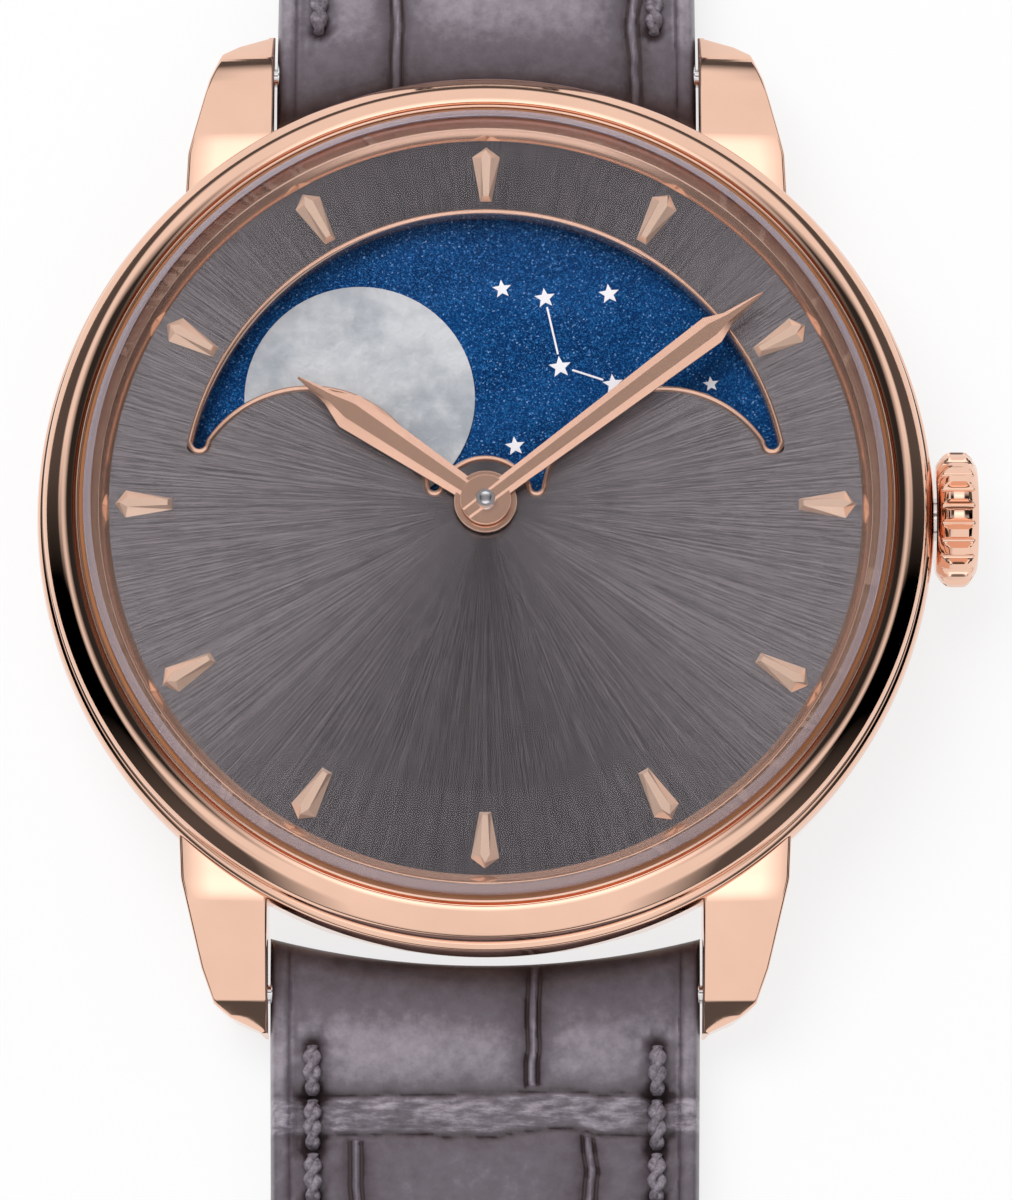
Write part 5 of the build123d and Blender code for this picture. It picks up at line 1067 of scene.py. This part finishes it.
floor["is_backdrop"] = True

# Studio: a pale room with a dark horizon and dark cards at both sides, as polished gold shows them. Overhead
# a dark card holds a bright strip along the strap, with a gap where faces that lie flat would mirror it to
# the camera. One large soft lamp gives the shadow.
world = bpy.data.worlds.new("studio")
world.use_nodes = True
bpy.context.scene.world = world
lamp_place, lamp_size, lamp_power = (-0.25, 0.3, 0.75), 0.5, 5.0
gap_middle, under_strength = 0.217, 0.8
backdrop = world.node_tree.nodes["Background"]


class Surround(Finish):
    """The same way of adding nodes, in the world's own tree."""

    def __init__(self, tree):
        self.tree = tree


room = Surround(world.node_tree)
way = room.node("TexCoord", "Generated")
east_west, along, level = (room.node("SeparateXYZ", axis, Vector=way) for axis in ("X", "Y", "Z"))
across = east_west.math("ABSOLUTE")
beside = (1 - (level - across * 0.5 + along * 0.2).band(0.05, 0.2)) * across.band(0.35, 0.6)
horizon = beside.math("MAXIMUM", 1 - level.band(0.13, 0.24))
flags = across.band(0.35, 0.6) * (1 - level.band(0.66, 0.8))
flags = flags * (1 - along.band(0.05, 0.35)) * along.band(-0.6, -0.3)
overhead = (1 - across.band(0.45, 0.62)) * along.band(-0.2, -0.05)
overhead = overhead * (1 - along.band(0.45, 0.6)) * level.band(0.5, 0.7)
gap = (along - gap_middle).math("ABSOLUTE").band(0.12, 0.25)
strip = 0.03 + (1 - across.band(0.1, 0.25)) * (0.2 + 1.6 * gap)
bright = (1 - flags) * (1 - 0.9 * horizon) * (1 - overhead) + overhead * strip
under = 1 - level.band(-0.1, -0.02)
plain = room.node("LightPath", "Is Camera Ray")
bright = bright * (1 - under) + under * under_strength
room.tree.links.new((bright * (1 - plain) + plain).socket, backdrop.inputs["Strength"])
backdrop.inputs["Color"].default_value = (1.0, 1.0, 1.0, 1.0)
lamp_data = bpy.data.lights.new("soft_box", "AREA")
lamp_data.energy, lamp_data.size = lamp_power, lamp_size
lamp = bpy.data.objects.new("soft_box", lamp_data)
bpy.context.scene.collection.objects.link(lamp)
lamp.visible_glossy = False
lamp.location = lamp_place
lamp.rotation_euler = (Vector((0, 0, 0)) - lamp.location).to_track_quat("-Z", "Y").to_euler()

# Camera: level with the strap, tipped a little from straight above, far off as the photograph's is.
distance_mm, elevation, azimuth = 360.0, np.radians(77.45), np.radians(0.05)
target_mm = np.array((0.955, -4.57, 7.5))
focal_pixels, picture_width = 7755.0, 1012
level_share = np.cos(elevation)
direction = np.array((level_share * np.sin(azimuth), -level_share * np.cos(azimuth), np.sin(elevation)))
camera_data = bpy.data.cameras.new("camera")
camera_data.sensor_fit = "HORIZONTAL"
camera_data.lens = focal_pixels / picture_width * camera_data.sensor_width
camera_data.clip_start, camera_data.clip_end = 0.01, 20.0
camera = bpy.data.objects.new("camera", camera_data)
bpy.context.scene.collection.objects.link(camera)
camera.location = Vector((target_mm + direction * distance_mm) * MM)
camera.rotation_euler = Vector(-direction).to_track_quat("-Z", "Y").to_euler()
bpy.context.scene.camera = camera
bpy.context.scene.view_settings.view_transform = "Standard"

sizes = {"cad": cad_box, "visual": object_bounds()}
